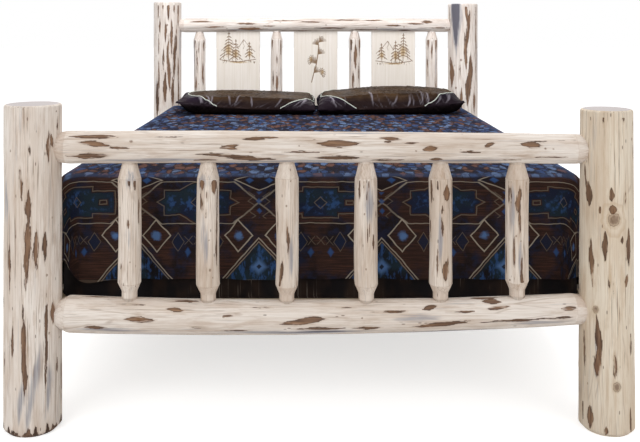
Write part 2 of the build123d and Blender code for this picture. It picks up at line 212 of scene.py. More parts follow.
BURN_LINE = (0.165, 0.085, 0.028)
PANEL_STRIP = 0.029
LOG_MARKS = ("bark", "char", "knot", "stain", "fresh_and_facet_light")


def log_finish(name, pale, mid, warm):
    """Peeled pine: cream wood, streaks, inner bark, knots and blue stain. A log's length is the grain's Z."""
    f = Finish(name, mid)
    grain = f.attribute("grain", "Vector")
    bark, char, knot, stain, fresh_and_facet_light = (f.attribute(key) for key in LOG_MARKS)

    def fibres(across, along, detail=3, roughness=0.65):
        return f.noise(f.stretch(grain, across, across, along), 1.0, detail, roughness)

    broad = fibres(11, 2.6, 3, 0.5)
    streak = fibres(120, 4, 4)
    fine = fibres(460, 9, 3, 0.6)
    mottle = fibres(48, 9, 4)
    f.paint(broad.ramp(0.36, 0.60), pale)
    f.paint(mottle.ramp(0.50, 0.72) * 0.5, warm)
    f.paint((1 - mottle.ramp(0.30, 0.46)) * 0.6, pale)
    f.paint(streak.ramp(0.50, 0.72) * 0.55, warm)
    f.paint(fine.ramp(0.48, 0.66) * 0.42, warm)

    # the drawknife's facets: painted light, each a little lighter at random as if it took the light its own
    # way, and painted shade in a faint line where two meet
    facets = f.stretch(grain, 62, 62, 2.4)
    wander = fibres(60, 16, 2, 0.5)
    tone = f.cells(facets, output="Color", randomness=0.9)
    border = f.cells(facets, feature="DISTANCE_TO_EDGE", randomness=0.9) + (wander - 0.5) * 0.05
    f.paint((f.split(tone)[0] - 0.5).most(0) * 0.5 * (1 - fresh_and_facet_light * 0.5), pale)
    # on the shoulders each facet's tone is painted light: warmer where darker, paler where lighter
    f.paint(fresh_and_facet_light.ramp(0.45, 0.6) * (1 - fresh_and_facet_light) * 1.1, warm)
    f.paint((fresh_and_facet_light - 0.75).most(0) * 1.6, pale)
    f.paint((1 - border.ramp(0.004, 0.03)) * broad.ramp(0.42, 0.58) * 0.38, FACET_EDGE_SHADE)

    # thin weather streaks, and specks
    thin = fibres(240, 6, 3, 0.55).ramp(0.585, 0.66) * fibres(16, 5, 2, 0.5).ramp(0.42, 0.6)
    f.paint(thin * (1 - fresh_and_facet_light * 0.9) * 0.75, WEATHERED)
    specks = f.stretch(grain, 95, 95, 28)
    picked = f.split(f.cells(specks, output="Color"))[0].ramp(0.80, 0.83)
    f.paint((1 - f.cells(specks).ramp(0.10, 0.19)) * picked * 0.75, SPECK)

    # blue stain, feathered along the grain
    blur = fibres(55, 5, 4, 0.6)
    feather = fibres(260, 8, 3, 0.6)
    f.paint((stain * 0.8 + (blur - 0.5) * 2.2 + (feather - 0.5) * 1.4).ramp(0.2, 1.0) * 0.74, STAIN_GREY)
    f.paint((stain + (feather - 0.5) * 1.6 + (blur - 0.5) * 1.2).ramp(1.2, 1.5) * 0.85, STAIN_DEEP)

    # knots: a dark eye in a brown ring
    eye = knot + (fibres(160, 90, 2, 0.5) - 0.5) * 0.5
    rings = (eye * 9).sine() * 0.5 + 0.5
    f.paint((1 - eye.ramp(0.7, 1.15)) * 0.55, warm)
    f.paint((1 - eye.ramp(0.45, 0.7)) * (0.55 + rings * 0.35), BARK_BROWN)
    f.paint((1 - eye.ramp(0.12, 0.3)) * 0.8, BARK_DARK)
    f.paint(eye.band(0.70, 0.05, 0.06) * 0.6, BARK_DARK)

    # inner bark left by the peeling: ragged, split along the grain, fibrous inside
    tooth = fibres(85, 15)
    edge = bark + (fibres(300, 26) - 0.5) * 0.0085 + (tooth - 0.5) * 0.0135
    island = fibres(110, 13, 3, 0.6)
    holes = island.ramp(0.58, 0.64) * 0.75 * (1 - edge.ramp(0.002, 0.006))
    share = edge.ramp(-0.0002, 0.0006) * (1 - holes)
    fibre = fibres(300, 14, 4)
    rim = (share - (edge + (fibre - 0.5) * 0.004).ramp(0.0006, 0.0042)).most(0)
    inner = f.mix(fibre.ramp(0.34, 0.62) * 0.7 + island.ramp(0.35, 0.6) * 0.3, BARK_BROWN, BARK_TAN)
    inner = f.mix(fibre.ramp(0.54, 0.70) * 0.6, inner, BARK_FIBRE)
    inner = f.mix(rim * 0.75, inner, BARK_RIM)
    # charred bark, which along the footboard rails' lower edges also stands for painted shade
    inner = f.mix(char, inner, f.mix(fibre.ramp(0.4, 0.7), BARK_DARK, BARK_ASH))
    f.paint(share * (0.93 + char * 0.07), inner)
    f.paint((bark + (tooth - 0.5) * 0.008).ramp(-0.005, 0.0005) * (1 - share) * 0.30, warm)

    height = fine * 0.35 + streak * 0.65 + share * 0.9 + fibre * share * 0.7 + border.ramp(0, 0.12) * 0.5
    rough = 0.56 + share * 0.25 - fresh_and_facet_light * 0.06 + fine * 0.08
    return f.done((height, 0.4, 0.0014), Roughness=rough, Specular_IOR_Level=0.3)


def end_grain_finish():
    """The sawn top of a post: year rings round its middle, fine checks, grey with age."""
    f = Finish("end_grain", SAWN_END)
    grain = f.attribute("grain", "Vector")
    x, y, _ = f.split(grain)
    radius = (x * x + y * y).root() + (f.noise(grain, scale=22) - 0.5) * 0.006
    ring = (radius * 1350).sine() * 0.5 + 0.5
    speck = f.noise(grain, scale=420)
    f.paint(ring.ramp(0.3, 0.9) * 0.3, SAWN_RING)
    f.paint(radius.ramp(0.062, 0.075) * 0.6, SAWN_RIM)
    f.paint(speck.ramp(0.55, 0.75) * 0.25, SAWN_SPECK)
    return f.done((ring + speck, 0.1, 0.0001), Roughness=0.8, Specular_IOR_Level=0.2)


def board_finish(name, colours, axis, panel=False):
    """Sawn pine, its grain along the axis; on a panel, strips glued edge to edge and a burnt drawing."""
    pale, mid, dark = colours
    f = Finish(name, pale)
    place = f.place()
    x, y, z = f.split(place)
    along, across, depth = {"X": (x, y, z), "Y": (y, x, z), "Z": (z, x, y)}[axis]
    vector = f.join(across, depth, along)
    if panel:
        strip = (across / PANEL_STRIP).floor()
        vector = f.join(across, strip * 0.37, along)
    streak = f.noise(f.stretch(vector, 110, 60, 2.4), 1.0, 4, 0.6, 0.4)
    fine = f.noise(f.stretch(vector, 620, 200, 12))
    f.paint(streak.ramp(0.35, 0.7), mid)
    f.paint(fine.ramp(0.5, 0.75) * 0.3, dark)
    height = fine * 0.3 + streak * 0.4
    if panel:
        tone = f.noise(f.join(strip * 7.31, 0.0, 3.3), detail=0)
        seam = abs(across / PANEL_STRIP - strip - 0.5).ramp(0.485, 0.5)
        mottle = f.noise(place, scale=260, detail=3)
        f.paint(tone.ramp(0.35, 0.65) * 0.45, mid)
        f.paint(seam * 0.35, dark)
        f.paint((f.attribute("shade") + (mottle - 0.5) * 0.9).ramp(0.35, 0.9) * 0.8, BURN_WASH)
        line = (f.attribute("burn") + (mottle - 0.5) * 0.0012).ramp(-0.0006, 0.0005)
        f.paint(line * 0.92, BURN_LINE)
        height = fine * 0.3 - line * 0.9
    return f.done((height, 0.3, 0.001), Roughness=0.6)


def steel_finish():
    f = Finish("zinc_steel", (0.42, 0.41, 0.39))
    spots = f.noise(f.place(), scale=160, detail=3)
    f.paint(spots.ramp(0.35, 0.7), (0.60, 0.60, 0.60))
    return f.done(Metallic=0.9, Roughness=0.34 + spots * 0.2)


# ---- The cover: a woven geometric cloth in the traditional manner, laid out from the foot's fold.
# Distances are metres of flat cloth: u across the bed, v from the fold, down towards the hem.
GROUND = (0.028, 0.0140, 0.0105)
GROUND_RUST = (0.066, 0.029, 0.019)
GROUND_DARK = (0.009, 0.007, 0.008)
NAVY = (0.0085, 0.0145, 0.036)
TEAL = (0.012, 0.024, 0.034)
BLUE = (0.028, 0.078, 0.215)
SKY = (0.085, 0.17, 0.36)
THREAD = (0.35, 0.305, 0.24)
THREAD_DIM = (0.17, 0.135, 0.10)
WEAVE = (0.12, 0.11, 0.12)
CHIP_NIGHT = (0.010, 0.011, 0.030)
CHIP_BLUE = (0.034, 0.062, 0.155)
CHIP_RUST = (0.125, 0.060, 0.047)
CHIP_PALE = (0.115, 0.175, 0.31)
FOLD_SHEEN_BLUE = (0.075, 0.115, 0.23)
REPEAT = 0.352
HALF = REPEAT / 2
HEM_AT = 0.310
LAYOUT_RAISE = 0.018
SIDE_FOLD = 0.766
FULL_REPEATS = 20
MEDALLION_AT = 0.083
MEDALLION = (  # rectangles as middle and half sizes: body, arms and barbs
    (0, MEDALLION_AT, 0.048, 0.040), (0, MEDALLION_AT, 0.068, 0.027),
    (0.082, 0.064, 0.030, 0.009), (0.082, 0.102, 0.030, 0.009),
    (0.105, 0.073, 0.007, 0.014), (0.105, 0.093, 0.007, 0.014),
)
FOLD_LOZENGE_AT = 0.017
LOWER_DIAMOND_AT = (0.118, 0.178)
CHAIN_AT = 0.052
CHAIN_HALF = 0.014
COMB_AT = 0.192
BORDERS = ((0.90, 0.55), (0.985, 0.95))  # place and strength


def diamond(x, y, cx, cy, rx, ry):
    """1 on a diamond's edge, less inside it."""
    return abs(x - cx) / rx + abs(y - cy) / ry


def oblong(x, y, cx, cy, hx, hy):
    """Distance outside an upright rectangle, negative inside."""
    return (abs(x - cx) - hx).most(abs(y - cy) - hy)


def inside(shape, soft=0.0012):
    return 1 - shape.ramp(-soft, soft)


def cover_finish():
    f = Finish("cover_cloth", GROUND)
    u, v, _ = f.split(f.attribute("cloth", "Vector"))
    u = u + (f.noise(f.join(u, v, 1.7), scale=19) - 0.5) * 0.010
    down = LAYOUT_RAISE - v
    aside = abs(u) - SIDE_FOLD + LAYOUT_RAISE
    on_side = (aside - down).ramp(-0.0005, 0.0005)
    y = down.most(aside) - (f.noise(f.join(v, u, 5.1), scale=19) - 0.5) * 0.010
    along = u + (v - u) * on_side + REPEAT * FULL_REPEATS
    x = along.fold(HALF)
    other = (along + HALF).remainder(2 * REPEAT).ramp(REPEAT - 0.001, REPEAT + 0.001)
    from_medallion = abs(y - MEDALLION_AT)

    streaks = f.noise(f.join(u * 10, v * 260, 0.0), detail=3, roughness=0.7)
    cloudy = f.noise(f.join(u, v, 8.8), scale=13, detail=3)
    spots = f.noise(f.join(u, v, 2.2), scale=42, detail=3, roughness=0.65)
    f.paint(streaks.ramp(0.42, 0.68), GROUND_RUST)
    f.paint(cloudy.ramp(0.42, 0.62) * 0.85, f.mix(spots.ramp(0.4, 0.6), GROUND_DARK, NAVY))

    # the great medallion: a stepped body with forked arms, every other one a star, thread round it
    plain = reduce(Value.least, (oblong(x, y, *part) for part in MEDALLION))
    star = diamond(x, y, 0, MEDALLION_AT, 0.108, 0.058) * 0.05 - 0.05
    crown = star.least(oblong(x, y, 0.070, MEDALLION_AT, 0.020, 0.031))
    shape = plain + (crown - plain) * other
    glow = f.mix(cloudy.ramp(0.38, 0.6), NAVY, TEAL)
    glow = f.mix(spots.ramp(0.46, 0.64) * inside(shape + 0.008, 0.006) * 0.75, glow, BLUE)
    f.paint(inside(shape) * 0.95, glow)
    f.paint(shape.band(0.0045, 0.0012, 0.0012) * 0.75, THREAD_DIM)
    f.paint(diamond(x, y, 0, MEDALLION_AT, 0.020, 0.017).band(0.9, 0.09, 0.05) * 0.6, THREAD_DIM)

    # long six-sided frame round it
    six_sided = (from_medallion / 0.060).most(x / 0.178 + from_medallion / 0.142)
    f.paint(six_sided.band(1.0, 0.018, 0.014) * (1 - (x / 0.13).ramp(0.98, 1.0) * 0.35) * 0.7, THREAD)

    # flat lozenges between the frames, towards the fold
    upper = diamond(x, y, HALF, FOLD_LOZENGE_AT, 0.072, 0.030)
    f.paint(inside((upper - 0.9) * 0.02) * 0.7, GROUND_DARK)
    f.paint(upper.band(1.0, 0.05, 0.03) * 0.8, THREAD)
    small = diamond(x, y, HALF - 0.028, FOLD_LOZENGE_AT, 0.012, 0.010)
    f.paint((1 - small.ramp(0.6, 1.4)) * 0.8, BLUE)

    # a chain of small blue lozenges and thread triangles down each seam between two frames
    chain_y = (y - CHAIN_AT).fold(CHAIN_HALF)
    chain = (HALF - x) / 0.009 + chain_y / 0.010
    reach = (y.ramp(0.050, 0.054) - y.ramp(0.126, 0.130)).most(0)
    f.paint((1 - chain.ramp(0.5, 1.2)) * reach * 0.75, BLUE)
    f.paint(((HALF - x) / 0.030 + chain_y / 0.022).band(1.0, 0.07, 0.05) * reach * 0.5, THREAD_DIM)

    # diamonds with a blurred blue star on the lower half
    lower = diamond(x, y, *LOWER_DIAMOND_AT, 0.040, 0.046)
    f.paint(inside((lower - 0.95) * 0.03) * 0.75, f.mix(streaks.ramp(0.4, 0.7), GROUND, GROUND_RUST))
    f.paint(lower.band(1.0, 0.055, 0.025) * 0.95, THREAD)
    star_x, star_y = x - LOWER_DIAMOND_AT[0], y - LOWER_DIAMOND_AT[1]
    rays = (star_x * star_x + star_y * star_y).root() + (spots - 0.5) * 0.030
    f.paint((1 - rays.ramp(0.004, 0.017)) * 0.9, SKY)

    # small crossed thread work under the medallion
    under_y = y - COMB_AT
    comb = (x.fold(0.013) - abs(under_y) * 0.85).band(0.0, 0.0012, 0.001)
    f.paint(comb * inside(oblong(x, under_y, 0, 0, 0.040, 0.013), 0.001) * 0.55, THREAD_DIM)
    wing = diamond(x, y, 0.056, 0.196, 0.017, 0.026)
    f.paint((1 - wing.ramp(0.85, 1.0)) * 0.8, NAVY)
    f.paint(wing.band(1.05, 0.06, 0.05) * 0.6, THREAD_DIM)
    f.paint((1 - diamond(x, y, 0.028, 0.226, 0.010, 0.014).ramp(0.5, 1.3)) * 0.8, BLUE)

    # dark fringed fields rising from the hem, with a double border
    peak = (HALF - x) / 0.112 + (HEM_AT - y) / 0.128
    tuft = f.noise(f.join(u * 70, y * 24, 3.0), detail=3, roughness=0.7)
    fringe = f.mix(tuft.ramp(0.48, 0.62) * 0.75, f.mix(cloudy.ramp(0.4, 0.6), TEAL, GROUND_DARK), BLUE)
    f.paint(1 - peak.ramp(0.86, 0.88), fringe)
    for at, strength in BORDERS:
        f.paint(peak.band(at, 0.013 + 0.006 * strength, 0.008) * strength * 0.85, THREAD)
    heart = diamond(x, y, HALF, 0.268, 0.030, 0.030)
    f.paint((1 - heart.ramp(0.35, 1.1)) * 0.8, SKY)
    f.paint((1 - heart.ramp(0.2, 0.3)) * 0.9, GROUND_DARK)

    # on top of the bed the cloth is a close mosaic of blues, lilac and rust
    woven = f.join(u.step(0.0045) * 44, v.step(0.008) * 21, 4.0)
    chip = f.split(f.cells(woven, output="Color", randomness=0.9))
    outline = f.cells(woven, feature="DISTANCE_TO_EDGE", randomness=0.9)
    mosaic = f.mix(chip[0].ramp(0.34, 0.40), CHIP_NIGHT, CHIP_BLUE)
    mosaic = f.mix(chip[1].ramp(0.66, 0.70), mosaic, CHIP_RUST)
    mosaic = f.mix(chip[2].ramp(0.76, 0.80) * 0.9, mosaic, CHIP_PALE)
    mosaic = f.mix((1 - outline.ramp(0.05, 0.13)) * 0.8, mosaic, GROUND_DARK)
    mosaic = f.mix(spots.ramp(0.46, 0.64) * 0.6, mosaic, GROUND_DARK)
    # painted sheen: a bluer band along the foot's fold, where the cloth turns to the light
    mosaic = f.mix(y.band(-0.004, 0.022, 0.018) * 0.30, mosaic, FOLD_SHEEN_BLUE)
    f.paint((y * -1).ramp(-0.010, 0.002) * 0.94, mosaic)

    # hem and weave
    threads = f.noise(f.join(u * 900, v * 900, 0.0), detail=1)
    f.paint(y.ramp(HEM_AT - 0.006, HEM_AT - 0.004) * 0.35, THREAD_DIM)
    f.paint(threads.ramp(0.4, 0.75) * 0.16, WEAVE)
    relief = (streaks * 0.4 + threads * 0.4 + spots * 0.5, 0.35, 0.0014)
    return f.done(relief, Roughness=0.9, Specular_IOR_Level=0.1, IOR=1.2)


# ---- Pillow cloth, piping and the plain cloths of the bedding
SATIN_BROWN = (0.033, 0.0170, 0.0085)
SATIN_LIGHT = (0.060, 0.033, 0.0155)
SATIN_CREASE_SHADE = (0.012, 0.0065, 0.0050)
SATIN_CREASE_SHEEN = (0.110, 0.066, 0.040)
SATIN_CORNER = (0.008, 0.005, 0.011)
SATIN_PURPLE = (0.020, 0.012, 0.024)
SATIN_SHADE = (0.013, 0.008, 0.0105)
SATIN_UNDERSIDE_SHADOW = (0.005, 0.0035, 0.0035)
SATIN_SHEEN = (0.27, 0.245, 0.28)
DUST_BROWN = (0.040, 0.022, 0.014)


def satin_finish():
    """Pillow cloth: brown middle, purple-black end panels, soft gloss; painted sheen and crease shade in
    streaks, painted highlights on the wrinkle crests, painted shade on the lower front and under side.
    """
    f = Finish("pillow_satin", SATIN_BROWN)
    belly = f.attribute("belly")
    place = f.place()
    cloudy = f.noise(place, scale=9, detail=3)
    fine = f.noise(f.stretch(place, 60, 900, 60))
    drawn = f.noise(f.stretch(place, 5, 34, 52), 1.0, 4, 0.6, 0.6)
    crease = f.noise(f.stretch(place, 30, 15, 22), 1.0, 3, 0.55, 1.2)
    f.paint(cloudy.ramp(0.38, 0.64), SATIN_LIGHT)
    # streaks along the pillow: painted crease shade where dark, painted sheen where light
    f.paint((1 - drawn.ramp(0.36, 0.52)) * 0.65, SATIN_CREASE_SHADE)
    f.paint(drawn.ramp(0.56, 0.72) * 0.6, SATIN_CREASE_SHEEN)
    panel = f.mix(cloudy.ramp(0.4, 0.65), SATIN_CORNER, SATIN_PURPLE)
    f.paint(f.attribute("corner").ramp(-0.001, 0.001), panel)
    # painted shade: the lower front darker, as if it turned away from the light
    f.paint(f.attribute("shade") * 0.8, SATIN_SHADE)
    # painted shadow: the under side, where it curves down to the cover, near black
    f.paint(belly * 0.92, SATIN_UNDERSIDE_SHADOW)
    # painted highlights along the wrinkle crests
    f.paint(f.attribute("fold").ramp(0.15, 1.0) * (0.45 + cloudy.ramp(0.4, 0.6) * 0.55), SATIN_SHEEN)
    relief = (crease + fine * 0.05, 0.55, 0.006)
    return f.done(relief, Roughness=0.33 + belly * 0.4, Specular_IOR_Level=0.05, IOR=1.3)


def piping_finish():
    f = Finish("piping_cord", (0.50, 0.56, 0.50))
    f.paint(f.noise(f.place(), scale=700, detail=1).ramp(0.4, 0.65), (0.70, 0.72, 0.64))
    return f.done(Roughness=0.6)


def plain_cloth_finish(name, base, light, stitch=None):
    """A woven ticking: threads, faint streaks."""
    f = Finish(name, base)
    place = f.place()
    threads = f.noise(place, scale=900, detail=1)
    cloudy = f.noise(place, scale=14, detail=3)
    f.paint(threads.ramp(0.35, 0.7) * 0.5 + cloudy.ramp(0.4, 0.7) * 0.3, light)
    if stitch:
        x, y, z = f.split(place)
        ticks = f.noise(f.join((x + y) * 260))
        low = f.noise(f.join((x + y) * 16, z * 8, 2.0))
        f.paint(low.ramp(0.40, 0.62) * 0.5, DUST_BROWN)
        f.paint(ticks.ramp(0.58, 0.68) * low.ramp(0.50, 0.62) * 0.85, stitch)
    return f.done((threads, 0.3, 0.0008), Roughness=0.92, Specular_IOR_Level=0.12)


# ======================================================================================
# Meshes
# ======================================================================================
WELD = 0.00002


def grid_faces(rows, around, closed=True):
    """Quads over a grid of rows by columns, the columns joined round when closed."""
    columns = around if closed else around - 1
    row, column = np.meshgrid(np.arange(rows - 1), np.arange(columns), indexing="ij")
    following = (column + 1) % around
    a = row * around + column
    b = row * around + following
    return np.stack([a, b, b + around, a + around], axis=2).reshape(-1, 4)


def make_mesh(name, points, faces):
    mesh = bpy.data.meshes.new(name)
    mesh.from_pydata(np.asarray(points).tolist(), [], faces)
    mesh.validate()
    mesh.update()
    piece = bpy.data.objects.new(name, mesh)
    bpy.context.scene.collection.objects.link(piece)
    return piece


def set_attribute(piece, name, values):
    """A number for each point, or three."""
    values = np.asarray(values, dtype=np.float32)
    vector = values.ndim > 1
    layer = piece.data.attributes.new(name, "FLOAT_VECTOR" if vector else "FLOAT", "POINT")
    layer.data.foreach_set("vector" if vector else "value", values.reshape(-1))


def smooth(piece, angle):
    """Smooth shading, with edges sharper than the angle kept crisp."""
    for polygon in piece.data.polygons:
        polygon.use_smooth = True
    piece.data.set_sharp_from_angle(angle=math.radians(angle))


def close_up(piece, material, angle):
    """Join corners that meet, turn every face outwards, then give the material and smooth shading."""
    work = bmesh.new()
    work.from_mesh(piece.data)
    bmesh.ops.remove_doubles(work, verts=work.verts, dist=WELD)
    bmesh.ops.recalc_face_normals(work, faces=work.faces)
    work.to_mesh(piece.data)
    work.free()
    piece.data.materials.append(material)
    smooth(piece, angle)


def declare(piece, body, node=None):
    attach(piece, body)
    if node:
        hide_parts(node)


def middle_of(node):
    low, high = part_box(node)
    return [(a + b) / 2 for a, b in zip(low, high)]


def corners_of(node):
    return (np.array(corner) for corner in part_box(node))


# ======================================================================================
# Logs, with sizes as part.py has them
# ======================================================================================
RAIL_TENON = 0.062
SIDE_TENON = 0.040
SPINDLE_TENON = 0.032
SEAT_OVERLAP = 0.013
FOOT_SHOULDER = 0.033
HEAD_SHOULDER = 0.032
SIDE_SHOULDER = 0.040
FOOT_SPINDLE_SHOULDER = 0.042
HEAD_SPINDLE_SHOULDER = 0.040
SPINDLE_NECKS = (0.017, 0.002)
RAIL_TENON_RADIUS = 0.034
HEAD_TENON_RADIUS = 0.028
SIDE_TENON_RADIUS = 0.027
FOOT_SPINDLE_TENON_RADIUS = 0.020
HEAD_SPINDLE_TENON_RADIUS = 0.019
POST_TOP_ROUND = 0.007
POST_FOOT_CHAMFER = 0.010
TENON_LIP = 0.002
FLAT_OFFSET = 0.030
SIDE_RAIL_X = 0.812
SIDE_RAIL_HEIGHT = 0.300
SIDE_RAIL_RADII = (0.054, 0.055, 0.053)
SIDE_RAIL_BOW = -0.006

# ---- What the shader reads
FAR_OUTSIDE = -0.02  # of a patch of bark or a drawn stroke
NO_KNOT = 3.0
BIG_KNOT = 0.010
COLLARED_KNOT = 0.018
COLLAR_WAVES = ((0.07, 2, 1), (0.05, 5, 0), (0.04, 11, 0))  # height, number and turn
CHAR_CHOICES = (0.0, 0.0, 0.0, 0.35)
NO_LIMIT = 9.0
DIRECTIONS = {  # side, up and along of a log, by how it lies
    "upright": ((1, 0, 0), (0, 1, 0), (0, 0, 1)),
    "across": ((0, 1, 0), (0, 0, 1), (1, 0, 0)),
    "lengthways": ((1, 0, 0), (0, 0, -1), (0, 1, 0)),
}


def photo_point(px, py, depth):
    """The point of the object at this depth in front of the camera, seen at a pixel of the photograph."""
    x = CAMERA.x + (px - HORIZON_PIXEL[0]) * depth / FOCAL_PIXELS
    z = CAMERA.z - (py - HORIZON_PIXEL[1]) * depth / FOCAL_PIXELS
    return x, z


class Log:
    """A peeled log as rings of points, with the marks that its shader reads at each of them.

    Radii are at its start, middle and end. A shoulder's length and tip radius belong to each end, and the
    tenon's length and radius to both.
    """

    def __init__(self, name, lies, origin, length, radii, shoulders, tips, tenon=(0, 0), bow=(0, 0),
                 drift=(0, 0), rounded=(True, True), necks=(0, 0), pitch=0.0045, around=96):
        self.name, self.origin, self.length = name, Vector(origin), length
        self.side, self.up, self.along = (Vector(way) for way in DIRECTIONS[lies])
        self.upright = lies == "upright"
        self.turn = 1 if self.upright else -1
        self.radii, self.shoulders, self.tips, self.tenon = radii, shoulders, tips, tenon
        self.bow, self.drift, self.rounded, self.necks = bow, drift, rounded, necks
        stem = np.linspace(0, length, int(length / pitch) + 1)
        fine_start = np.linspace(0, shoulders[0], 14)
        fine_stop = np.linspace(length - shoulders[1], length, 14)
        between = (stem > shoulders[0] + pitch / 3) & (stem < length - shoulders[1] - pitch / 3)
        self.z = np.concatenate([fine_start, stem[between], fine_stop])
        self.theta = np.linspace(0, TURN, around, endpoint=False)
        self.profile = np.array([self.radius(z) for z in self.z])
        u = np.clip((self.z - shoulders[0]) / (length - shoulders[0] - shoulders[1]), 0, 1)
        self.centre = np.stack([b * 4 * u * (1 - u) + d * u for b, d in zip(bow, drift)], axis=1)
        self.r = np.repeat(self.profile[:, None], around, axis=1)
        self.bark = np.full(self.r.shape, FAR_OUTSIDE)
        self.knot = np.full(self.r.shape, NO_KNOT)
        self.char, self.stain, self.fresh_and_facet_light = np.zeros((3, *self.r.shape))

    def stem_radius(self, z):
        start, stop = self.shoulders[0], self.length - self.shoulders[1]
        u = min(max((z - start) / (stop - start), 0), 1)
        first, middle, last = self.radii
        return first * (1 - u) * (1 - 2 * u) + 4 * middle * u * (1 - u) + last * u * (2 * u - 1)

    def radius(self, z):
        stem = self.stem_radius(z)
        for depth, length, tip, neck, rounded in zip(
                (z, self.length - z), self.shoulders, self.tips, self.necks, self.rounded):
            if depth < length:
                drop = stem - tip
                if not rounded:
                    return stem - drop * (1 - max(depth - neck, 0) / (length - neck))
                arc = (length**2 + drop**2) / (2 * drop)
                return stem - arc + math.sqrt(arc**2 - (length - depth) ** 2)
        return stem

    def facing(self):
        """The angle round the log that looks at the camera."""
        to_camera = CAMERA - (self.origin + self.along * (self.length / 2))
        return math.atan2(to_camera.dot(self.up), to_camera.dot(self.side))

    def seen(self, px, py):
        """Distance along the log and angle round it of the point seen at a pixel."""
        depth = self.origin.y - CAMERA.y
        spot, eye, origin = photo_point(px, py, depth), (CAMERA.x, CAMERA.z), (self.origin.x, self.origin.z)
        way = 1 if self.upright else 0
        along = spot[way] - origin[way]
        u = min(max(along / self.length, 0), 1)
        centre = self.bow[1 - way] * 4 * u * (1 - u) + self.drift[1 - way] * u
        radius = self.stem_radius(along)
        nearer = (depth - radius * 0.9) / depth
        along = eye[way] + (spot[way] - eye[way]) * nearer - origin[way]
        across = spot[1 - way] - origin[1 - way] - centre
        swing = math.asin(min(max(across / radius, -0.97), 0.97))
        return along, self.facing() + self.turn * swing

    def arc_from(self, angle, rows=slice(None)):
        """How far round the log each point lies from an angle."""
        return np.angle(np.exp(1j * (self.theta[None, :] - angle))) * self.profile[rows][:, None]

    def patch(self, along, angle, half_length, half_width, lean):
        """A signed field, positive inside a spindle-shaped patch, over the rows that it reaches."""
        rows = np.abs(self.z - along) < half_length * 1.15
        s = ((self.z[rows] - along) / half_length)[:, None]
        belly = half_width * (1 - np.abs(s) ** 1.5)
        return rows, belly - np.abs(self.arc_from(angle, rows) - lean * s)

    def add_bark(self, along, angle, half_length, half_width, lean=0.0, char=0.0):
        rows, field = self.patch(along, angle, half_length, half_width, lean)
        nearer = field > self.bark[rows]
        self.char[rows] = np.where(nearer & (field > -0.006), char, self.char[rows])
        self.bark[rows] = np.maximum(self.bark[rows], field)

    def add_stain(self, along, angle, half_length, half_width, lean, amount=1.0):
        rows, field = self.patch(along, angle, half_length, half_width, lean)
        soft = np.clip(field / half_width + 0.25, 0, 1) * amount
        self.stain[rows] = np.maximum(self.stain[rows], soft)

    def add_knot(self, along, angle, size):
        arc = self.arc_from(angle)
        distance = np.sqrt(arc**2 + ((self.z[:, None] - along) * 0.8) ** 2) / size
        if size > COLLARED_KNOT:
            bearing = np.arctan2(self.z[:, None] - along, arc)
            waves = sum(rise * np.sin(count * bearing + turn) for rise, count, turn in COLLAR_WAVES)
            collar = np.clip((2.2 - distance * (1 + waves)) / 1.1, 0, 1) * (distance > 0.85)
            self.fresh_and_facet_light = np.maximum(self.fresh_and_facet_light, collar * 0.92)
        self.r += 0.10 * size * np.exp(-((distance / 1.3) ** 2))
        if size > BIG_KNOT:
            distance = np.maximum(distance * 1.15, 0.36)
        self.knot = np.minimum(self.knot, distance)

    def flats(self, count, depth, reach):
        """Long shallow flats where the knife took the bark off."""
        for _ in range(count):
            angle = rng.uniform(0, TURN)
            middle = rng.uniform(0, self.length)
            half = rng.uniform(*reach)
            bite = rng.uniform(0.3, 1.0) * depth
            rows = np.abs(self.z - middle) < half
            s = ((self.z[rows] - middle) / half)[:, None]
            floor = self.profile[rows][:, None] - bite * (1 - s**2)
            cos = np.cos(self.theta[None, :] - angle)
            limit = np.where(cos > 0.5, floor / np.maximum(cos, 0.5), NO_LIMIT)
            self.r[rows] = np.minimum(self.r[rows], limit)

    def shoulder_facets(self, count):
        """The drawn-in ends are cut in facets and left clean, each facet with a random tone of painted light.
        """
        for reach, depth in zip(self.shoulders, (self.z, self.length - self.z)):
            share = np.clip(1.25 - depth / reach, 0, 1)[:, None]
            phase = rng.uniform(0, TURN)
            angles = phase + np.cumsum(rng.uniform(0.7, 1.3, count)) * TURN / count
            limit = np.full(self.r.shape, NO_LIMIT)
            tone = np.ones(self.r.shape)
            for angle in angles:
                cos = np.cos(self.theta[None, :] - angle)
                flat = self.profile[:, None] * rng.uniform(0.925, 0.965)
                reached = np.where(cos > 0.4, flat / np.maximum(cos, 0.4), NO_LIMIT)
                tone = np.where(reached < limit, rng.uniform(0.62, 1.0), tone)
                limit = np.minimum(limit, reached)
            cut = np.minimum(self.r, limit)
            self.r = self.r + (cut - self.r) * np.clip(share * 2.2, 0, 1)
            clean = np.clip((reach * 1.02 - depth) / 0.003, 0, 1)[:, None]
            self.fresh_and_facet_light = np.maximum(self.fresh_and_facet_light, clean * tone)
            self.bark -= clean * 0.02

    def waviness(self, amount):
        """The stem's own swellings, always inwards from its full radius."""
        z, t = self.z[:, None], self.theta[None, :]
        wave = np.zeros(self.r.shape)
        for _ in range(7):
            k = rng.uniform(6, 34)
            n = rng.integers(1, 4)
            wave += np.sin(k * z + n * t + rng.uniform(0, LAST_PHASE)) * rng.uniform(0.4, 1)
        wave = (wave - wave.max()) / (wave.max() - wave.min())
        self.r *= 1 + amount * wave

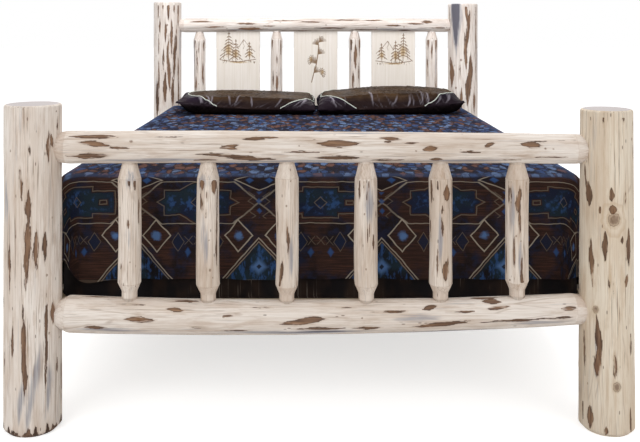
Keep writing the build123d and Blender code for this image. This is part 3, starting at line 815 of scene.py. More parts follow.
    def random_marks(self, density, behind_only, lengths=(0.02, 0.16), widths=(0.0015, 0.0065)):
        """Marks where no mark was listed."""
        facing = self.facing()
        count = TURN * self.radii[1] * self.length * density
        for _ in range(int(count)):
            along, angle = rng.uniform(0, self.length), rng.uniform(0, TURN)
            half = 0.5 * lengths[0] * (lengths[1] / lengths[0]) ** rng.uniform()
            width = 0.5 * rng.uniform(*widths) * (1 + half * 14)
            lean = rng.normal() * 0.004
            if not (behind_only and math.cos(angle - facing) > 0.05):
                self.add_bark(along, angle, half, width, lean)
        for _ in range(max(1, int(count * 0.12))):
            along, angle = rng.uniform(0.03, self.length - 0.03), rng.uniform(0, TURN)
            size = rng.uniform(0.004, 0.009)
            if not (behind_only and math.cos(angle - facing) > 0.05):
                self.add_knot(along, angle, size)

    def photo_marks(self, marks=(), knots=(), stains=(), longer=1.0, wider=1.0):
        """Marks as the photograph shows them, in its pixels."""
        unit = (self.origin.y - CAMERA.y) / FOCAL_PIXELS * 0.97
        for px, py, long, wide, *rest in marks:
            lean = rest[0] if rest else 0.0
            char = rest[1] if len(rest) > 1 else rng.choice(CHAR_CHOICES)
            half_length, half_width = long * unit * 0.58 * longer, wide * unit * 0.54 * wider / longer
            self.add_bark(*self.seen(px, py), half_length, half_width, lean * unit * self.turn, char)
        for px, py, size in knots:
            self.add_knot(*self.seen(px, py), size * unit)
        for px, py, long, wide, lean, *amount in stains:
            half_length, half_width = long * unit * 0.55, wide * unit * 0.8
            self.add_stain(*self.seen(px, py), half_length, half_width, lean * unit * self.turn, *amount)

    def build(self, finish, flat_side=None):
        """Make the mesh object, tenons and end caps included, and put it in the CAD log's place."""
        around = len(self.theta)
        z, r, centre = self.z, self.r, self.centre
        marks = {key: getattr(self, key) for key in LOG_MARKS}
        reach, radius = self.tenon
        if reach:
            def with_tenons(values, fill):
                ring = np.full((2, around), fill)
                return np.concatenate([ring, values, ring])

            z = np.concatenate([[-reach, 0], z, [self.length, self.length + reach]])
            centre = centre[np.clip(np.arange(len(z)) - 2, 0, len(centre) - 1)]
            r = with_tenons(r, radius)
            unmarked = {"bark": FAR_OUTSIDE, "knot": NO_KNOT, "fresh_and_facet_light": 1.0}
            marks = {key: with_tenons(value, unmarked.get(key, 0.0)) for key, value in marks.items()}
        x = r * np.cos(self.theta) + centre[:, [0]]
        y = r * np.sin(self.theta) + centre[:, [1]]
        if flat_side is not None:
            inner = -flat_side * FLAT_OFFSET
            cut = (x * flat_side < inner * flat_side) & ((z > 0) & (z < self.length))[:, None]
            x = np.where(cut, inner, x)
            marks["bark"] = np.where(cut, FAR_OUTSIDE, marks["bark"])
            marks["fresh_and_facet_light"] = np.where(cut, 1.0, marks["fresh_and_facet_light"])
        local = np.stack([x, y, np.repeat(z[:, None], around, axis=1)], axis=2).reshape(-1, 3)
        sides = grid_faces(len(z), around).tolist()
        caps = []
        for base, order in ((0, 1), ((len(z) - 1) * around, -1)):
            ring = base + np.arange(around)
            fan = np.column_stack([np.roll(ring, -1), ring, np.full(around, len(local))])
            caps += fan[:, ::order].tolist()
            local = np.vstack([local, local[ring].mean(axis=0)])
            marks = {key: np.append(value, value.reshape(-1)[base]) for key, value in marks.items()}
        points = local @ np.array([self.side, self.up, self.along]) + np.array(self.origin)
        piece = make_mesh(self.name + "_log", points, sides + caps)
        for material in (LOG_FINISH[finish], END_GRAIN):
            piece.data.materials.append(material)
        on_cap = np.arange(len(piece.data.polygons)) >= len(sides)
        piece.data.polygons.foreach_set("material_index", on_cap.astype(np.int32))
        piece.data.polygons.foreach_set("use_smooth", ~on_cap)
        set_attribute(piece, "grain", local + (0, 0, 3 * rng.uniform(-4, 4, 3)[2]))
        for key, value in marks.items():
            set_attribute(piece, key, value)
        declare(piece, "bed_frame", self.name)


LOG_FINISH = {
    "cream": log_finish("peeled_pine", *CREAM_PINE),
    "white": log_finish("peeled_pine_white", *WHITE_PINE),
    "tan": log_finish("peeled_pine_tan", *TAN_PINE),
    "yellow": log_finish("peeled_pine_yellow", *YELLOW_PINE),
}
END_GRAIN = end_grain_finish()

# ---- Marks read off the photograph, in its pixels: bark as (x, y, length, width, lean, char), knots as (x, y, size)
# ---- and stains as (x, y, length, width, lean, amount); char darkens bark, and along the footboard rails'
# lower edges is painted shade
POST_MARKS = {
    "footboard_post_left": dict(
        marks=[(56, 128, 16, 2), (47.5, 148, 30, 4.5), (50.5, 142, 14, 4, -2), (29.5, 150, 11, 2.5),
            (21.5, 183, 28, 4, -1), (28.5, 207, 36, 6, 0), (28, 250, 72, 5, 2), (27.5, 235, 30, 5),
            (36, 250, 44, 5), (44, 248, 32, 5), (11, 267, 42, 3.6), (24.5, 350, 84, 5, -1),
            (26, 375, 34, 4), (14, 341, 38, 2.6, 1), (52, 316, 22, 6.5), (45.5, 345, 90, 2.6, 1),
            (45.5, 322, 34, 4, 1), (56, 373, 14, 2), (60, 235, 40, 3, 1, 0.7), (5, 305, 20, 3),
            (6, 368, 24, 3), (61, 390, 40, 3), (34, 318, 12, 1.4)],
        knots=[(55, 113, 1.2), (51, 220, 1.3), (46, 277, 1.6), (48, 336, 1.4), (12, 151, 1.3),
            (58, 345, 1.2)],
        stains=[(34, 384, 96, 8, 9, 1.1), (48, 392, 76, 7, 6, 1.0), (8, 205, 60, 6, 0),
            (22, 400, 50, 7, 3, 1.1)],
    ),
    "footboard_post_right": dict(
        marks=[(591.7, 119, 11, 1.6), (604, 119, 15, 1.8), (622, 118, 10, 1.2), (632, 126, 14, 2.4, 0, 0.6),
            (633, 155, 14, 2.2), (590, 196, 24, 8, -1), (586.5, 178, 26, 2.4, -2), (611, 195, 13, 6),
            (612, 209, 9, 8.5), (600.5, 210, 6, 1.6), (624, 200, 17, 3), (605.5, 246, 25, 5.4),
            (627, 247, 36, 6), (621, 240, 7, 4), (592.5, 263, 40, 5, -1), (625, 281, 12, 4, 1),
            (609, 282, 13, 2), (613, 289, 14, 1.6), (599, 339, 42, 6, -2), (598, 366, 28, 6.5),
            (586, 355, 42, 3.4, -1), (614, 366, 25, 4), (629, 346, 18, 2.6), (591, 421, 24, 6),
            (629, 421, 26, 3), (584, 418, 16, 2), (606, 431, 8, 4), (581, 300, 30, 2)],
        knots=[(613.5, 219, 8.5), (596.5, 311, 4.6), (616, 386, 6), (632, 222, 1.6), (630, 140, 1.8),
            (589, 388, 1.2)],
        stains=[(597, 370, 20, 5, 0), (598, 345, 30, 4, 0)],
    ),
    "headboard_post_left": dict(
        marks=[(158.5, 9, 13, 2.4), (163, 6, 8, 1.6), (168.5, 9, 16, 2.6), (174, 7, 10, 1.6),
            (178, 14, 24, 2.4), (160, 26, 10, 1.6), (165.5, 31, 16, 2.2), (171.5, 36, 26, 2.6),
            (176.5, 40, 18, 1.8), (159, 44, 14, 1.6), (168, 50, 20, 2, 1), (174.5, 58, 36, 3, 1),
            (163.5, 60, 16, 2), (169, 72, 30, 3.4, -1), (178, 72, 24, 2), (159, 76, 22, 2),
            (165, 88, 26, 4), (172.5, 92, 24, 3), (178.5, 96, 20, 2.4), (157.5, 100, 26, 5, 0, 0.8)],
        knots=[(167, 25, 1.2), (173, 80, 1.4)],
        stains=[(157, 92, 40, 6, 0), (180, 40, 60, 3, 0)],
    ),
    "headboard_post_right": dict(
        marks=[(466.5, 12, 16, 3, -1), (468, 30, 28, 3.6, 2), (465.5, 52, 30, 3, -1), (470.5, 70, 24, 5),
            (468, 88, 26, 6, 1), (475.5, 40, 60, 1.8), (452, 74, 18, 7), (450.5, 62, 10, 3),
            (461.5, 98, 16, 2.6), (474, 100, 22, 3), (453, 100, 16, 3), (460, 70, 12, 1.6),
            (450, 20, 26, 1.4)],
        knots=[(461, 60, 1.3), (456, 88, 1.3)],
        stains=[(455, 20, 60, 10, 0), (455.5, 10, 88, 8.2, -1, 2.4), (477, 60, 70, 3, 0)],
    ),
}

# On both footboard rails the char of the marks along the lower edge is painted shade under the rail, as well
# as charred bark.
RAIL_MARKS = {
    "footboard_top_rail": dict(
        marks=[(93, 136.5, 42, 4.4), (94, 144, 29, 4.8, -2), (88, 155.8, 46, 4.6, 0, 0.3),
            (165, 137, 36, 1.2), (255, 138.6, 22, 4), (264, 137.6, 30, 2), (231, 146, 18, 3, 2),
            (231, 148, 16, 3, -2), (228, 155.8, 66, 3.2, -2, 0.45), (250, 158.6, 44, 4, -1, 0.45),
            (338, 143.8, 42, 5.6), (391, 138.8, 20, 4, -1), (388, 142, 8, 2), (338, 157.8, 48, 4.4, 0, 0.5),
            (388, 160, 34, 2.6, 0, 0.5), (430, 148.6, 14, 4.4, 1), (437, 159.4, 12, 3),
            (489, 145, 10, 3.4, 2), (548, 141, 54, 1.6, 2, 0.5), (531, 144.6, 20, 5, -1), (550, 157, 30, 2),
            (180, 143, 16, 1), (300, 152, 30, 1), (410, 143, 14, 1), (470, 152, 18, 1.2),
            (205, 160, 20, 1.4), (510, 160, 20, 1.4), (120, 148, 16, 1)],
        knots=[(131, 141.5, 1.8), (416, 151, 1.2), (299, 146, 1.1), (545, 148.5, 1.3), (553, 149, 1.2)],
        stains=[(150, 160, 120, 5, 0), (360, 133, 200, 3, 0), (470, 161, 120, 4, 0, 1.2),
            (300, 161, 160, 3, 0, 1.2)],
    ),
    "footboard_bottom_rail": dict(
        marks=[(91, 297.5, 34, 2.2), (187, 301.8, 22, 3, 0, 0.3), (140, 319.5, 28, 4.6),
            (95, 326.8, 20, 3.4, 0, 0.4), (199, 326.6, 16, 2, 0, 0.4), (312, 319.4, 26, 5.4, 0),
            (296, 323, 34, 3.6, 1), (318, 328, 42, 2.6, 0, 0.5), (367, 327, 26, 3.4, 0, 0.4),
            (444, 323.6, 46, 4, 2), (428, 325.4, 30, 3, 1), (430, 308, 14, 4.4, 2, 0.3),
            (486, 298.4, 28, 4), (493, 302.4, 18, 6, -1), (499, 308, 20, 4, 1), (570, 309, 16, 3.6, 0),
            (520, 320, 90, 1.6, 1, 0.6), (560, 318, 26, 2, 0, 0.5), (175, 310, 16, 3.6, -1),
            (233, 330, 30, 1.4, 0, 0.6), (262, 308, 20, 1.2), (390, 312, 30, 1.2), (346, 308, 18, 1),
            (460, 312, 24, 1.2), (130, 305, 24, 1.2), (228, 316, 10, 1.6)],
        knots=[(139, 319.4, 2.6), (223.5, 317, 1.3), (362, 318, 1.2)],
        stains=[(540, 322, 90, 5, 0), (300, 331, 200, 5, 0, 1.4), (110, 329, 80, 5, 0, 1.4),
            (420, 318, 60, 6, 0), (450, 330, 160, 4, 0, 1.3)],
    ),
    "headboard_top_rail": dict(
        marks=[(200, 21.6, 22, 1.3), (214, 27, 20, 1.3), (246, 23.6, 18, 1.4), (252, 28.8, 30, 2.6),
            (283, 20.6, 30, 1.1), (312, 22, 22, 1.1), (331, 28, 32, 1.4), (346, 20, 24, 1.3),
            (372, 20.2, 20, 1.4), (393, 25.6, 22, 1.4), (414, 23.6, 18, 1.4), (427, 21.8, 12, 2.4),
            (440, 28, 18, 1.6), (228, 31, 34, 1), (300, 31, 30, 1), (362, 29.8, 26, 1.3),
            (404, 30.4, 22, 1.4), (268, 26, 14, 1)],
        knots=[(326, 25, 0.9), (404, 27, 0.9)],
        stains=[(250, 30, 90, 3, 0), (400, 30, 80, 3, 0)],
    ),
}

SPINDLE_MARKS = {
    "footboard_spindle_1": dict(
        marks=[(129, 179, 13, 2.6, 0, 0.2), (135, 181, 20, 3), (121, 268, 8, 1.6), (128.5, 224, 8, 2.4),
            (139, 215, 40, 1.4)],
        knots=[(128.5, 224.5, 1.4), (130, 262, 1)],
        stains=[(130, 181, 26, 8, 0), (128, 235, 40, 6, 0)],
    ),
    "footboard_spindle_2": dict(
        marks=[(201.5, 184, 14, 6), (214, 185, 18, 7.4), (202, 204, 14, 3), (217, 232, 86, 3.6, 1),
            (207, 196, 10, 1.6), (206, 214, 8, 1.4), (201, 190, 30, 2)],
        knots=[(210, 270, 1.7), (213, 278, 1.1), (209, 240, 1)],
        stains=[(204, 245, 60, 6, 0), (202, 183, 20, 9, 0)],
    ),
    "footboard_spindle_3": dict(
        marks=[(277.5, 222, 26, 2.2), (287.5, 238, 32, 3.2, -1), (281, 274, 26, 3.6, 2, 0.4),
            (279, 287, 8, 1.6)],
        knots=[(286.5, 206, 1.3), (291, 181, 1)],
        stains=[(292, 250, 50, 4, 0)],
    ),
    "footboard_spindle_4": dict(
        marks=[(359.5, 190, 20, 3), (364, 186, 12, 1.6), (369, 184, 12, 2), (367, 196, 14, 2),
            (369.5, 228, 14, 2.2), (367.5, 236, 16, 2), (373.5, 243, 14, 2, 0, 0.3), (376.5, 215, 8, 1.4)],
        knots=[(364.5, 214, 1.2), (366, 269, 1.3)],
        stains=[(368, 205, 50, 8, 0), (376, 265, 30, 3, 0)],
    ),
    "footboard_spindle_5": dict(
        marks=[(447, 194, 16, 8), (431.5, 191, 30, 3), (438, 187, 14, 2.4), (442.5, 226, 18, 2.4),
            (430.5, 228, 26, 2.6), (448, 263, 12, 3), (446, 271, 20, 6.5), (437.5, 262, 26, 1.6),
            (452, 190, 20, 2), (443, 210, 12, 1.5)],
        knots=[(444, 210, 1), (444.5, 279, 1)],
        stains=[(440, 240, 60, 6, 0)],
    ),
    "footboard_spindle_6": dict(
        marks=[(508.5, 194, 24, 2), (519.5, 195, 18, 3.4), (517.5, 204, 18, 6), (520, 218, 30, 3.4),
            (526, 188, 14, 2), (506, 262, 40, 2, 0, 0.3), (514, 256, 50, 2.2), (522, 276, 34, 3),
            (514, 240, 8, 1.6), (511, 200, 40, 1.2)],
        knots=[(516, 236, 1.2), (521, 241, 1), (510, 281, 1.2)],
        stains=[(513, 215, 70, 5, 0), (520, 260, 50, 5, 0)],
    ),
    "headboard_spindle_1": dict(
        marks=[(195, 41, 14, 1.8), (204, 44, 18, 1.8), (199, 48, 16, 1.2), (197, 62, 30, 1.3),
            (203, 72, 26, 1.8), (196, 84, 16, 2.4)],
        stains=[(194.5, 60, 50, 2, 0)],
    ),
    "headboard_spindle_2": dict(
        marks=[(272, 42, 14, 3), (281, 46, 18, 1.8), (277, 60, 10, 1.2), (277, 84, 18, 2.6),
            (273, 78, 14, 1.2)],
        stains=[(281, 70, 40, 2, 0)],
    ),
    "headboard_spindle_3": dict(
        marks=[(351, 42, 18, 2.6), (359.5, 44, 20, 2.6), (355.5, 56, 26, 3.4), (353, 80, 18, 2.6),
            (359, 74, 18, 1.6)],
        stains=[(350, 60, 50, 2, 0)],
    ),
    "headboard_spindle_4": dict(
        marks=[(428, 42, 14, 2.2), (436, 43, 16, 2.6), (432, 50, 16, 1.4), (427.5, 68, 20, 1.6),
            (436, 86, 16, 2)],
        stains=[(436, 64, 40, 2, 0)],
    ),
}

POST_RADII = {
    "footboard_post_left": (0.078, 0.0778, 0.0774),
    "footboard_post_right": (0.075, 0.0725, 0.0698),
    "headboard_post_left": (0.0746, 0.0743, 0.074),
    "headboard_post_right": (0.080, 0.0798, 0.0792),
}
CROSS_RAILS = {  # radii, height of the middle line, tenon's radius, bow, drift and rounded ends
    "footboard_top_rail": (
        (0.046, 0.0436, 0.0415), 0.769, RAIL_TENON_RADIUS, 0.003, -0.005, (True, True)),
    "footboard_bottom_rail": (
        (0.0505, 0.0466, 0.0425), 0.309, RAIL_TENON_RADIUS, -0.015, 0.013, (False, True)),
    "headboard_top_rail": ((0.038, 0.037, 0.0365), 1.091, HEAD_TENON_RADIUS, 0.003, 0, (True, True)),
    "headboard_bottom_rail": ((0.046, 0.045, 0.044), 0.495, RAIL_TENON_RADIUS, 0.005, 0, (True, True)),
}
SPINDLES = {  # tenon's radius, shoulder, and the radii and bow of each
    "footboard": (
        FOOT_SPINDLE_TENON_RADIUS, FOOT_SPINDLE_SHOULDER,
        (0.033, 0.032, 0.033, 0.002), (0.034, 0.0325, 0.032, -0.003), (0.0325, 0.032, 0.034, 0.003),
        (0.033, 0.0335, 0.032, -0.002), (0.0335, 0.032, 0.033, 0.002), (0.033, 0.032, 0.033, -0.002)),
    "headboard": (
        HEAD_SPINDLE_TENON_RADIUS, HEAD_SPINDLE_SHOULDER,
        (0.033, 0.032, 0.033, 0.002), (0.0325, 0.033, 0.032, -0.002),
        (0.0335, 0.032, 0.0325, 0.002), (0.032, 0.033, 0.033, -0.002)),
}
POST_FINISHES = {"footboard_post_right": "yellow", "footboard_post_left": "cream"}
HEAD_POST_MARKS = {"longer": 1.3, "wider": 1.25}
RAIL_MARKS_WIDER = 1.3


def make_post(name):
    _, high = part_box(name)
    x, y, _ = middle_of(name)
    radii = POST_RADII[name]
    tips = (radii[0] - POST_FOOT_CHAMFER, radii[2] - POST_TOP_ROUND)
    log = Log(name, "upright", (x, y, 0), high[2], radii, (POST_FOOT_CHAMFER, POST_TOP_ROUND), tips,
              rounded=(False, True), around=144)
    log.waviness(0.012)
    log.flats(70, 0.0014, (0.05, 0.3))
    log.photo_marks(**POST_MARKS[name], **(HEAD_POST_MARKS if "head" in name else {}))
    log.random_marks(190, True)
    log.bark -= np.clip((log.z - (log.length - 0.016)) / 0.008, 0, 1)[:, None] * 0.03
    if name == "footboard_post_left":
        add_ragged_skirt(log)
    log.build(POST_FINISHES.get(name, "white"))


def add_ragged_skirt(log):
    """The bark left round a post's foot, partly charred."""
    t = log.theta[None, :]
    ragged = 0.016 + 0.008 * np.sin(t * 9 + 1) + 0.007 * np.sin(t * 17 + 2) + 0.006 * np.sin(t * 31)
    skirt = (ragged - log.z[:, None]) * 0.35
    log.bark = np.maximum(log.bark, skirt)
    log.char = np.where(skirt > -0.003, 0.35 + 0.55 * (np.sin(t * 5) > 0), log.char)


def make_cross_rail(name, radii, height, tenon_radius, bow, drift, rounded):
    low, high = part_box(name)
    tenon = RAIL_TENON - SEAT_OVERLAP
    start, stop = low[0] + tenon, high[0] - tenon
    shoulder = HEAD_SHOULDER if name.startswith("head") else FOOT_SHOULDER
    log = Log(name, "across", (start, middle_of(name)[1], height), stop - start, radii, (shoulder,) * 2,
              (tenon_radius + TENON_LIP,) * 2, (tenon, tenon_radius), (0, bow), (0, drift), rounded)
    log.waviness(0.03)
    log.flats(80, 0.0022, (0.05, 0.28))
    if name in RAIL_MARKS:
        log.photo_marks(**RAIL_MARKS[name], wider=RAIL_MARKS_WIDER)
    log.random_marks(170, name in RAIL_MARKS)
    log.shoulder_facets(13)
    log.build("white" if name.startswith("head") else "cream")


def make_spindle(name, radii, tenon_radius, shoulder, bow):
    low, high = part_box(name)
    x, y, _ = middle_of(name)
    bottom, top = low[2] + SPINDLE_TENON, high[2] - SPINDLE_TENON
    log = Log(name, "upright", (x, y, bottom), top - bottom, radii, (shoulder,) * 2,
              (tenon_radius + TENON_LIP,) * 2, (SPINDLE_TENON, tenon_radius), (bow / 2, bow / 4),
              rounded=(False, False), necks=SPINDLE_NECKS, pitch=0.004, around=72)
    log.waviness(0.06)
    log.flats(34, 0.0024, (0.03, 0.12))
    if name in SPINDLE_MARKS:
        log.photo_marks(**SPINDLE_MARKS[name])
    log.random_marks(230, name in SPINDLE_MARKS)
    log.shoulder_facets(9)
    log.build("white" if name.startswith("head") else "tan")


def make_side_rail(name, side):
    low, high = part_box(name)
    start, stop = low[1] + SIDE_TENON, high[1] - SIDE_TENON
    origin = (side * SIDE_RAIL_X, start, SIDE_RAIL_HEIGHT)
    log = Log(name, "lengthways", origin, stop - start, SIDE_RAIL_RADII, (SIDE_SHOULDER,) * 2,
              (SIDE_TENON_RADIUS + TENON_LIP,) * 2, (SIDE_TENON, SIDE_TENON_RADIUS),
              (0, SIDE_RAIL_BOW), pitch=0.007, around=72)
    log.waviness(0.03)
    log.flats(60, 0.0018, (0.05, 0.28))
    log.random_marks(170, False)
    log.shoulder_facets(12)
    log.build("cream", flat_side=side)


for post_name in POST_RADII:
    make_post(post_name)
for rail_name, sizes in CROSS_RAILS.items():
    make_cross_rail(rail_name, *sizes)
for board, (tenon_radius, shoulder, *stems) in SPINDLES.items():
    for number, (*radii, bow) in enumerate(stems, 1):
        make_spindle(f"{board}_spindle_{number}", radii, tenon_radius, shoulder, bow)
make_side_rail("side_rail_left", -1)
make_side_rail("side_rail_right", 1)

# ======================================================================================
# Headboard panels: glued pine with a burnt drawing
# ======================================================================================
PANEL_GRID = 0.0022
PANEL_EASE = 0.003
PEN = 1.35
GROOVE_DEPTH = 0.0007
DRAWING_HEIGHTS = {"left": 0.968, "centre": 0.885, "right": 0.960}
PANEL_BOARD = board_finish("glued_pine", PANEL_PINE, "Z", panel=True)
CONES = ((-0.026, 0.024, 0.3), (0.036, -0.045, -0.25))
CONE_WASH = (0.017, 0.027)


def stroke_distance(x, z, strokes):
    """How far inside the nearest drawn stroke each point lies."""
    best = np.full(x.shape, FAR_OUTSIDE)
    for half, points in strokes:
        for (ax, az), (bx, bz) in zip(points, points[1:]):
            dx, dz = bx - ax, bz - az
            t = np.clip(((x - ax) * dx + (z - az) * dz) / max(dx * dx + dz * dz, 1e-12), 0, 1)
            distance = np.hypot(x - ax - t * dx, z - az - t * dz)
            best = np.maximum(best, half * PEN - distance)
    return best


def conifer(foot_x, foot_z, height, tiers, lean=0.0):
    """A fir as ragged boughs on both sides of a stem."""
    strokes = [(0.0012, [(foot_x, foot_z), (foot_x + lean, foot_z + height)])]
    for tier in range(tiers):
        share = (tier + 0.7) / tiers
        z = foot_z + height * (0.14 + 0.84 * share)
        reach = height * 0.30 * (1.08 - share)
        x = foot_x + lean * share
        for side in (-1, 1):
            jag = rng.uniform(0.8, 1.15)
            tip = (x + side * reach * jag, z - reach * 0.62 * jag)
            elbow = (x + side * reach * 0.5, z - reach * 0.18)
            strokes.append((0.0014, [(x, z), elbow, tip]))
            strokes.append((0.0009, [elbow, (x + side * reach * 0.62, z - reach * 0.58)]))
    return strokes


def sprig():
    """A pine branch with needle fans and two cones."""
    stem = [(-0.022, -0.10), (-0.010, -0.05), (0.004, 0.0), (0.012, 0.05), (0.016, 0.10)]
    strokes = [(0.0018, stem)]
    for (x, z), side in zip(stem[1:] + [(0.018, 0.115)], (1, -1, 1, -1, 1)):
        for spread in np.linspace(-0.9, 0.9, 9):
            angle = math.radians(90) - side * math.radians(42) + spread * 0.72
            reach = 0.036 + rng.uniform(-0.005, 0.004)
            strokes.append((0.0009, [(x, z), (x + reach * math.cos(angle), z + reach * math.sin(angle))]))
    for cx, cz, turn in CONES:
        for row in range(6):
            w = 0.016 * math.sin(math.pi * (row + 1.1) / 7.2)
            z = cz - 0.024 + row * 0.0085
            x = cx + (z - cz) * turn
            strokes.append((0.0012, [(x - w, z + 0.003), (x, z - 0.004), (x + w, z + 0.003)]))
    return strokes


def panel_drawing(which):
    """Strokes as half widths and points, and washes as ovals: middle and half sizes."""
    if which == "centre":
        return sprig(), [(x, z, *CONE_WASH) for x, z, _ in CONES]
    mirror = 1 if which == "left" else -1
    strokes = conifer(mirror * -0.052, -0.062, 0.150, 8, 0.003)
    strokes += conifer(mirror * -0.012, -0.070, 0.118, 6)
    strokes += conifer(mirror * 0.062, -0.058, 0.092, 5, -0.002)
    peaks = (
        (-0.090, -0.012), (-0.030, 0.030), (0.004, 0.006), (0.030, 0.046), (0.058, 0.012), (0.092, -0.020))
    gully = ((0.030, 0.046), (0.026, 0.026), (0.034, 0.012), (0.028, -0.004))
    ground = ((-0.095, -0.062), (-0.05, -0.069), (0.0, -0.074), (0.05, -0.066), (0.095, -0.060))
    for half, line in ((0.0010, peaks), (0.0008, gully), (0.0013, ground)):
        strokes.append((half, [(mirror * x, z) for x, z in line]))
    for _ in range(26):
        x = rng.uniform(-0.09, 0.09)
        z = -0.072 + rng.uniform(-0.012, 0.004)
        strokes.append((0.0007, [(x, z), (x + rng.uniform(-0.004, 0.004), z + rng.uniform(0.006, 0.014))]))
    washes = ((-0.052, -0.01, 0.032, 0.062), (-0.012, -0.03, 0.026, 0.045), (0.062, -0.03, 0.022, 0.035),
              (0.0, -0.075, 0.09, 0.010))
    return strokes, [(mirror * x, *rest) for x, *rest in washes]


def make_panel(which):
    node = f"headboard_panel_{which}"
    low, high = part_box(node)
    wide, tall = (int((high[way] - low[way]) / PANEL_GRID) for way in (0, 2))
    x, z = np.meshgrid(np.linspace(low[0], high[0], wide + 1), np.linspace(low[2], high[2], tall + 1))
    edge = np.minimum(np.minimum(x - low[0], high[0] - x), PANEL_EASE) / PANEL_EASE
    inset = (1 - np.sqrt(1 - (1 - edge) ** 2)) * PANEL_EASE * 0.8
    strokes, washes = panel_drawing(which)
    local_x = x - (low[0] + high[0]) / 2
    local_z = z - DRAWING_HEIGHTS[which]
    burn = stroke_distance(local_x, local_z, strokes)
    shade = np.zeros(x.shape)
    for cx, cz, rx, rz in washes:
        shade = np.maximum(shade, np.clip(1.1 - np.hypot((local_x - cx) / rx, (local_z - cz) / rz), 0, 1))
    groove = np.clip(burn / 0.0012, 0, 1) * GROOVE_DEPTH
    layers = (low[1] + inset + groove, high[1] - inset)
    points = np.vstack([np.stack([x, y, z], axis=2).reshape(-1, 3) for y in layers])
    piece = make_mesh(node + "_board", points, two_layer_faces(*x.shape))
    set_attribute(piece, "burn", np.concatenate([burn.reshape(-1), np.full(burn.size, FAR_OUTSIDE)]))
    set_attribute(piece, "shade", np.concatenate([shade.reshape(-1), np.zeros(shade.size)]))
    close_up(piece, PANEL_BOARD, 40)
    declare(piece, "bed_frame", node)


def two_layer_faces(rows, columns, open_sides=4):
    """Faces of two equal grids, one over the other, joined along their open sides."""
    count = rows * columns
    face = grid_faces(rows, columns, closed=False)
    index = np.arange(count).reshape(rows, columns)
    sides = []
    for line in (index[-1], index[:, 0], index[:, -1], index[0])[:open_sides]:
        sides.append(np.column_stack([line[:-1], line[1:], line[1:] + count, line[:-1] + count]))
    return np.vstack([face, face[:, ::-1] + count, *sides]).tolist()


for which in DRAWING_HEIGHTS:
    make_panel(which)

# ======================================================================================
# Bedding
# ======================================================================================
COVER_THICK = 0.0105
COVER_EDGE = 0.045
COVER_CORNER = 0.089
COVER_HEM_DIP = 0.004
COVER_FOOT_HEM = 0.371
COVER_SPINE_FROM_FOOT = 0.62
COVER_RIM_STEPS = (16, 150)
COVER_PUFF = 0.0022
COVER_FOLD = 0.0026
COVER_HANGING_PUFF = 0.0012
COVER_LEAST_SINK = 0.0005
COVER_MOST_LINING_SINK = 0.0024
COVER_ROWS = (64, 12, 54)  # on top, over the edge and down the side
COVER_HEM_LIFT = 0.006
COVER_LEAST_LIFT = 0.001
HEM_BUMPS = ((0.050, 0.070, 0.042), (-0.010, -0.020, 0.05))  # height, place past the left corner, reach
HEM_WAVES = (0.62, 0.41, 0.23, 0.115)
FOLD_WAVES = (0.37, 0.26, 0.19, 0.12, 0.085)


def rounded_rim(low, high, corner, quarters, steps, ends=()):
    """A level rectangle's rim through its rounded quarters in turn, as points and outward directions.

    Quarters count against the clock from +X +Y. With two ends it runs from the first to the second, and
    otherwise it closes. Steps are the points of an arc and of a straight.
    """
    arcs = []
    for quarter in quarters:
        angles = np.linspace(quarter, quarter + 1, steps[0]) * math.pi / 2
        outward = np.column_stack([np.cos(angles), np.sin(angles)])
        centre = np.where(outward[steps[0] // 2] > 0, high[:2] - corner, low[:2] + corner)
        arcs.append((centre + corner * outward, outward))
    if len(ends):
        arcs.insert(0, (ends[:1], arcs[0][1][:1]))
        arcs.append((ends[1:], arcs[-1][1][-1:]))
    parts = []
    for (points, outward), (following, _) in zip(arcs, arcs[1:] + ([] if len(ends) else arcs[:1])):
        straight = np.linspace(points[-1], following[0], steps[1])[:-1]
        parts.append((points[:-1], outward[:-1]))
        parts.append((straight, np.tile(outward[-1], (len(straight), 1))))
    if len(ends):
        parts.append(arcs[-1])
    return (np.vstack(stretch) for stretch in zip(*parts))


def lengths_along(path):
    return np.concatenate([[0], np.cumsum(np.hypot(*np.diff(path, axis=0).T))])


def smooth_waves(x, lengths, amount):
    """A sum of sines of mixed lengths, within plus and minus amount."""
    phases = rng.uniform(0, LAST_PHASE, len(lengths))
    total = sum(np.sin(x * TURN / length + phase) for length, phase in zip(lengths, phases))
    return total / len(lengths) * amount


